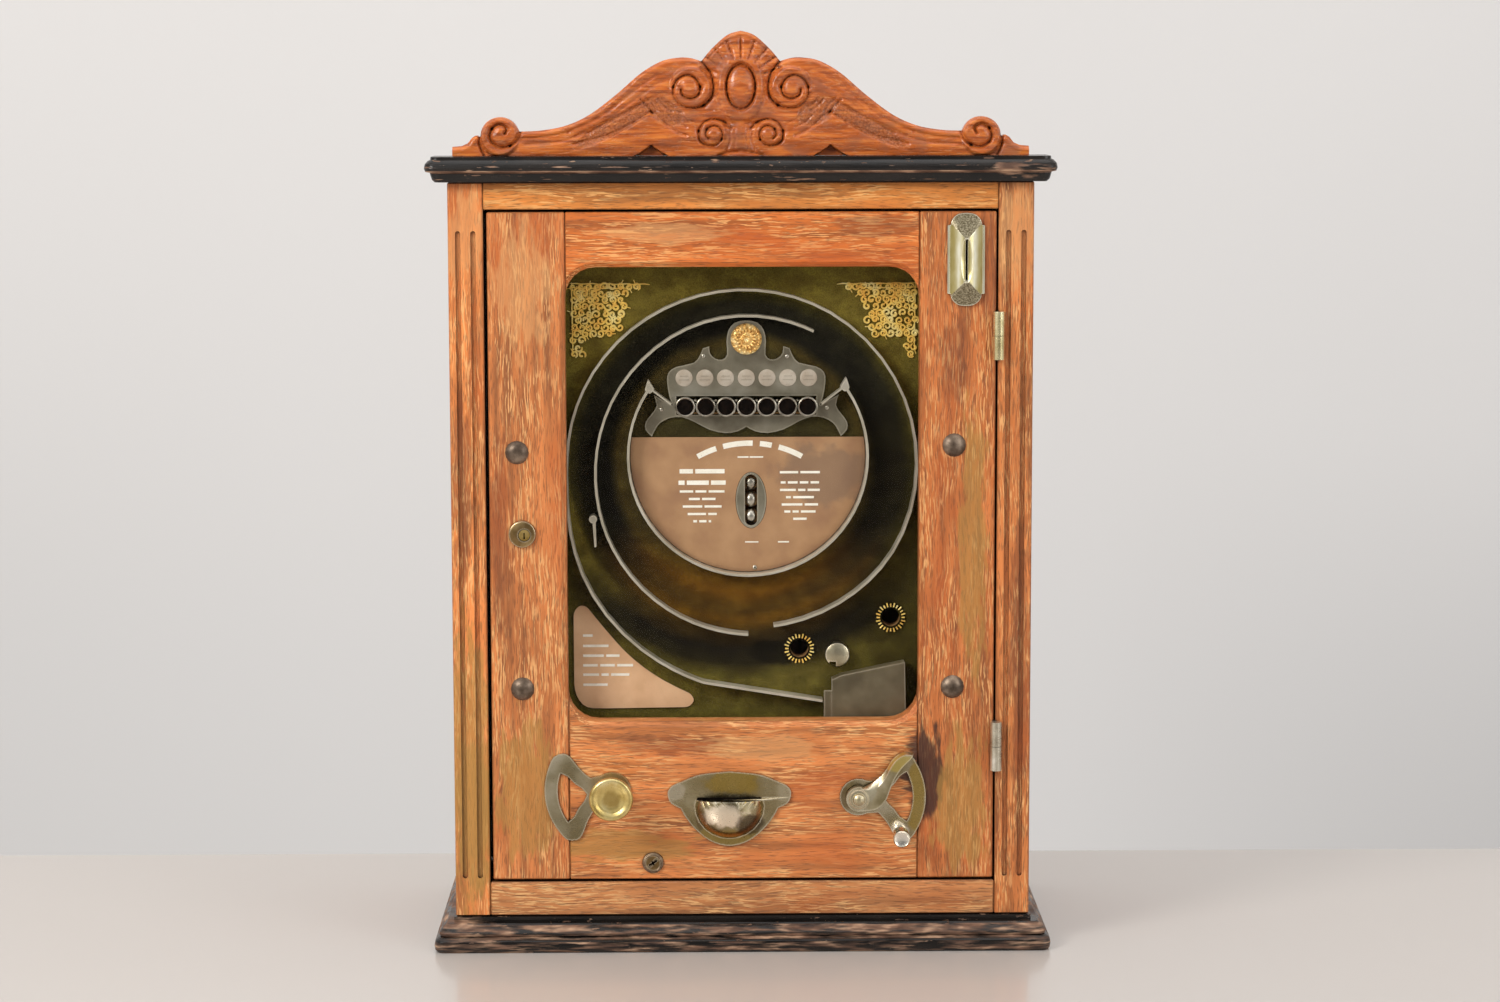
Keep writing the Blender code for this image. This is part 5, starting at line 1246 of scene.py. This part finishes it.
def smooth_shading(obj, angle=32.0):
    """Rounds the shading of a faceted node without moving a vertex."""
    mesh = obj.data
    if "custom_normal" in mesh.attributes:
        mesh.attributes.remove(mesh.attributes["custom_normal"])
    mesh.shade_smooth()
    weld = obj.modifiers.new("weld", "WELD")
    weld.merge_threshold = 0.00001
    split = obj.modifiers.new("split", "EDGE_SPLIT")
    split.split_angle = math.radians(angle)


def own_metals():
    """Metals of single nodes, where wear has left their own colours, with painted highlight and shade
    in the payout bowl.
    """
    pale = ((184, 176, 154), (210, 202, 182), (230, 224, 208))
    track = metal("track_steel", pale, 0.34, 30.0, 0.15, metallic=0.5, corner_shade=0.3, rim=0.4)
    grey = ((112, 105, 88), (136, 130, 112), (156, 151, 135))
    sheet = metal("sheet_grey", grey, 0.36, 26.0, 0.12, metallic=0.55, corner_shade=0.4, rim=0.35)
    olive_grey = ((106, 95, 70), (130, 118, 90), (150, 138, 108))
    cover = metal("cover_sheet", olive_grey, 0.4, 30.0, 0.2, metallic=0.3, corner_shade=0.4, rim=0.3)
    bronze = ((106, 84, 52), (142, 116, 76), (178, 152, 108))
    lock = metal("lock_bronze", bronze, 0.36, rim=0.5)
    domes = ((84, 70, 58), (112, 96, 82), (150, 132, 114))
    bolt = metal("bolt_bronze", domes, 0.4, 8.0, 0.4, metallic=0.7)
    pale_brass = ((206, 190, 138), (236, 224, 176), (250, 244, 214))
    bright_hinge = metal("hinge_brass", pale_brass, 0.26, 16.0, 0.1, metallic=0.85)
    nickel = ((168, 158, 138), (208, 200, 180), (236, 230, 216))
    grey_hinge = metal("hinge_nickel", nickel, 0.3, 16.0, 0.1, metallic=0.8)
    corner_card = card(
        "corner_card", ((202, 158, 118), (220, 178, 136), (230, 190, 148)), (-60.0, 250.0), (9.0, 9.0)
    )
    olive, brown, bowl_highlight, shadow = (172, 144, 66), (112, 86, 52), (252, 236, 212), (66, 50, 38)
    payout = metal(
        "payout_nickel",
        ((138, 122, 84), (160, 146, 110), (182, 170, 138)),
        0.26,
        30.0,
        0.25,
        (
            ((-8.0, 137.0), (26.0, 10.0), olive, 0.75),
            ((-10.6, 92.0), (34.0, 9.0), olive, 0.55),
            ((-56.0, 130.0), (10.0, 9.0), (214, 204, 182), 0.6),
            ((36.0, 130.0), (9.0, 9.0), (206, 194, 166), 0.5),
            # The pale oval in the bowl is a painted highlight; the shadow oval and the brown oval on
            # its left wall are painted shade.
            ((-16.0, 112.0), (20.0, 10.0), bowl_highlight, 0.9),
            ((6.0, 104.0), (12.0, 12.0), shadow, 0.75),
            ((-34.0, 108.0), (5.0, 12.0), brown, 0.6),
        ),
        corner_shade=0.25,
        rim=0.8,
    )
    trigger = metal(
        "trigger_nickel",
        ((146, 132, 98), (178, 166, 136), (206, 198, 174)),
        0.26,
        30.0,
        0.25,
        (
            ((142.0, 124.0), (9.0, 36.0), olive, 0.8),
            ((84.0, 124.0), (10.0, 10.0), brown, 0.5),
            ((128.3, 97.0), (8.0, 8.0), (244, 238, 226), 0.9),
        ),
        corner_shade=0.3,
        rim=0.8,
    )
    lever = metal(
        "lever_polish",
        ((150, 138, 102), (186, 174, 142), (214, 206, 182)),
        0.4,
        18.0,
        0.2,
        (((126.0, 156.0), (16.0, 9.0), (206, 182, 98), 0.8),),
        corner_shade=0.4,
        rim=0.8,
    )
    return {
        "outer_track": track,
        "middle_track": track,
        "cup_ring": track,
        "gate_flap": track,
        "cup_plate": sheet,
        "reserve_window": sheet,
        "lock_body": lock,
        "lower_lock_plug": lock,
        "coach_bolt_left_upper": bolt,
        "coach_bolt_left_lower": bolt,
        "coach_bolt_right_upper": bolt,
        "coach_bolt_right_lower": bolt,
        "shooter_cover": cover,
        "instruction_card": corner_card,
        "hinge_leaf_door_upper": bright_hinge,
        "hinge_leaf_frame_upper": bright_hinge,
        "hinge_leaf_door_lower": grey_hinge,
        "hinge_leaf_frame_lower": grey_hinge,
        "payout_cup": payout,
        "trigger_plate": trigger,
        "trigger_lever": lever,
        "cornice": ebonised(
            "cornice_black",
            ((632.2, 634.0, 1.4), (636.8, 638.2, 0.3), (625.6, 627.6, 0.25)),
            (((222.0, 635.0), (26.0, 6.0)),),
        ),
    }


def dress_nodes():
    """Gives each CAD node that stays visible its material and smooth shading."""
    nodes = frame["nodes"]
    shades = {
        "worn_nickel": metal(
            "tarnished_nickel",
            ((142, 130, 98), (172, 162, 134), (200, 192, 168)),
            0.3,
            30.0,
            0.25,
            corner_shade=0.4,
            rim=0.7,
        ),
        "bright_steel": metal(
            "bright_steel_sheet", ((150, 144, 130), (196, 190, 176), (224, 220, 208)), 0.3
        ),
        "brass": metal("old_brass", ((148, 118, 60), (190, 158, 88), (224, 198, 130)), 0.3),
        "dark_bronze": metal(
            "dark_bronze_dome", ((58, 40, 30), (86, 62, 46), (124, 98, 78)), 0.42, 8.0
        ),
        "dull_bronze": metal(
            "dull_bronze_ring", ((84, 68, 54), (118, 98, 80), (160, 140, 116)), 0.4, 6.0, corner_shade=0.5
        ),
        "gilt_brass": metal(
            "gilt",
            ((250, 196, 88), (255, 220, 112), (255, 240, 164)),
            0.32,
            12.0,
            0.1,
            metallic=0.15,
            corner_shade=0.25,
        ),
        "tin_sheet": metal("dull_tin", ((92, 92, 88), (130, 130, 126), (160, 160, 154)), 0.5),
        "ebonised_wood": ebonised(
            "plinth_black",
            ((0.5, 9.0, 0.85), (11.0, 21.0, 1.0)),
            (((-248.0, 8.0), (54.0, 24.0)), ((248.0, 8.0), (34.0, 24.0))),
            0.24,
        ),
        "pine": pine(),
        "velvet_board": velvet((0.5, 393.5), corner("playfield_board", 0).y),
        "glass": clear_glass(),
        "card": card(
            "disc_card",
            ((152, 112, 80), (168, 128, 90), (180, 140, 100)),
            (70.0, 385.0),
            (42.0, 26.0),
        ),
    }
    for i, (name, (grain, tone)) in enumerate(sorted(BOARDS.items())):
        box = (corner(name, 0), corner(name, 1))
        made = oak(f"oak_{name}", box, grain, tone, 3.0 + i, board_patches(name))
        nodes[name].material_slots[0].material = made
    own = own_metals()
    for name, obj in nodes.items():
        if name not in BOARDS:
            slot = obj.material_slots[0]
            slot.material = own.get(name, shades.get(slot.material.name, slot.material))
        smooth_shading(obj)
    return shades


# ---------------------------------------------------------------- stage, lights and camera


def make_stage():
    """A glossy white table that ends behind the cabinet, and a pale wall beyond it."""
    tables = {
        "table": ((-3.0, -4.0, 0.0), (3.0, -4.0, 0.0), (3.0, 0.246, 0.0), (-3.0, 0.246, 0.0)),
        "wall": ((-4.0, 1.3, -2.0), (4.0, 1.3, -2.0), (4.0, 1.3, 4.0), (-4.0, 1.3, 4.0)),
    }
    paints = {
        "table": stage_paint("table_white", (198, 191, 185), 0.35, 0.5),
        "wall": stage_paint("wall_grey", (226, 224, 223), 0.9, 0.0),
    }
    for name, corners in tables.items():
        mesh = bpy.data.meshes.new(name)
        mesh.from_pydata(corners, [], [(0, 1, 2, 3)])
        mesh.materials.append(paints[name])
        obj = bpy.data.objects.new(name, mesh)
        bpy.context.scene.collection.objects.link(obj)


def area_light(name, place, target, size, watts, colour=(1.0, 1.0, 1.0)):
    data = bpy.data.lights.new(name, "AREA")
    data.shape = "RECTANGLE"
    data.size, data.size_y = size
    data.energy = watts
    data.color = colour
    lamp = bpy.data.objects.new(name, data)
    lamp.location = place
    aim = Vector(target) - Vector(place)
    lamp.rotation_mode = "QUATERNION"
    lamp.rotation_quaternion = aim.to_track_quat("-Z", "Y")
    bpy.context.scene.collection.objects.link(lamp)


def make_lights():
    world = bpy.data.worlds.new("studio")
    world.use_nodes = True
    nodes, links = world.node_tree.nodes, world.node_tree.links
    towards = nodes.new("ShaderNodeSeparateXYZ")
    links.new(nodes.new("ShaderNodeTexCoord").outputs["Generated"], towards.inputs[0])
    shade = nodes.new("ShaderNodeMapRange")
    for key, value in (("From Min", -1.0), ("From Max", -0.7), ("To Min", 0.16), ("To Max", 0.62)):
        shade.inputs[key].default_value = value
    links.new(towards.outputs["Y"], shade.inputs["Value"])
    back = nodes["Background"]
    back.inputs["Color"].default_value = (1.0, 0.985, 0.97, 1.0)
    links.new(shade.outputs[0], back.inputs["Strength"])
    bpy.context.scene.world = world
    area_light("key", (-1.9, -1.9, 1.8), (0.0, -0.1, 0.35), (1.0, 1.0), 50.0, (1.0, 0.98, 0.94))
    area_light("fill", (2.1, -1.8, 1.2), (0.0, -0.1, 0.35), (1.2, 1.6), 17.0)
    area_light("top", (0.0, -0.6, 2.5), (0.0, 0.0, 0.0), (2.4, 1.6), 13.0)
    area_light("backdrop", (0.4, 0.35, 2.6), (0.6, 1.3, 0.2), (4.0, 0.8), 9.0)


def make_camera():
    """The viewer's place: level with the crest, a little left of the middle, looking down."""
    data = bpy.data.cameras.new("viewer")
    data.sensor_width = 36.0
    data.lens = 82.25
    data.clip_end = 50.0
    down, turn, roll = (math.radians(angle) for angle in (7.014, 0.709, -0.110))
    ahead = Vector((math.sin(turn) * math.cos(down), math.cos(turn) * math.cos(down), -math.sin(down)))
    right = Vector((math.cos(turn), -math.sin(turn), 0.0))
    up = right.cross(ahead)
    across = right * math.cos(roll) + up * math.sin(roll)
    upright = up * math.cos(roll) - right * math.sin(roll)
    pose = Matrix((across, upright, -ahead)).transposed().to_4x4()
    pose.translation = Vector((-27.3, -2845.5, 705.9)) * MM
    camera = bpy.data.objects.new("viewer", data)
    camera.matrix_world = pose
    bpy.context.scene.collection.objects.link(camera)
    bpy.context.scene.camera = camera


def build():
    shades = dress_nodes()
    make_crest(carved_oak())
    gilt, dark = shades["gilt_brass"], painted_hole_shade()
    for side in ("left", "right"):
        make_filigree(side, gilt)
        make_exit_ring(side, gilt, dark)
    golds = ((206, 152, 82), (240, 198, 122), (255, 230, 170))
    make_rosette(metal("rosette_gilt", golds, 0.3, 6.0, 0.5, metallic=0.7, corner_shade=1.0))
    paper = enamel("label_paper", (172, 158, 140), (190, 180, 164), 0.4)
    ink = enamel("faded_ink", (146, 138, 122), (164, 156, 140), 0.5)
    white = enamel("white_print", (240, 234, 216), (252, 248, 234), 0.5)
    rim = metal("rim_steel", ((120, 114, 100), (160, 154, 140), (200, 194, 180)), 0.3)
    make_labels(paper, ink, shades["bright_steel"])
    make_cup_rims(rim, dark)
    make_coin_plate(coin_metal(middle("coin_plate")), dark)
    make_payout_mouth(dark)
    make_lock_ring(shades["dull_bronze"], dark)
    make_printing(white)
    brushed = ((190, 162, 92), (220, 196, 126), (242, 226, 170))
    dish = (((-106.1, 131.0), (7.0, 7.0), (168, 138, 74), 0.6),)
    make_knob(metal("knob_polish", brushed, 0.32, 14.0, 0.35, dish, 0.85, 0.4))
    make_stage()
    make_lights()
    make_camera()
    bpy.context.scene.view_settings.view_transform = "Standard"


build()
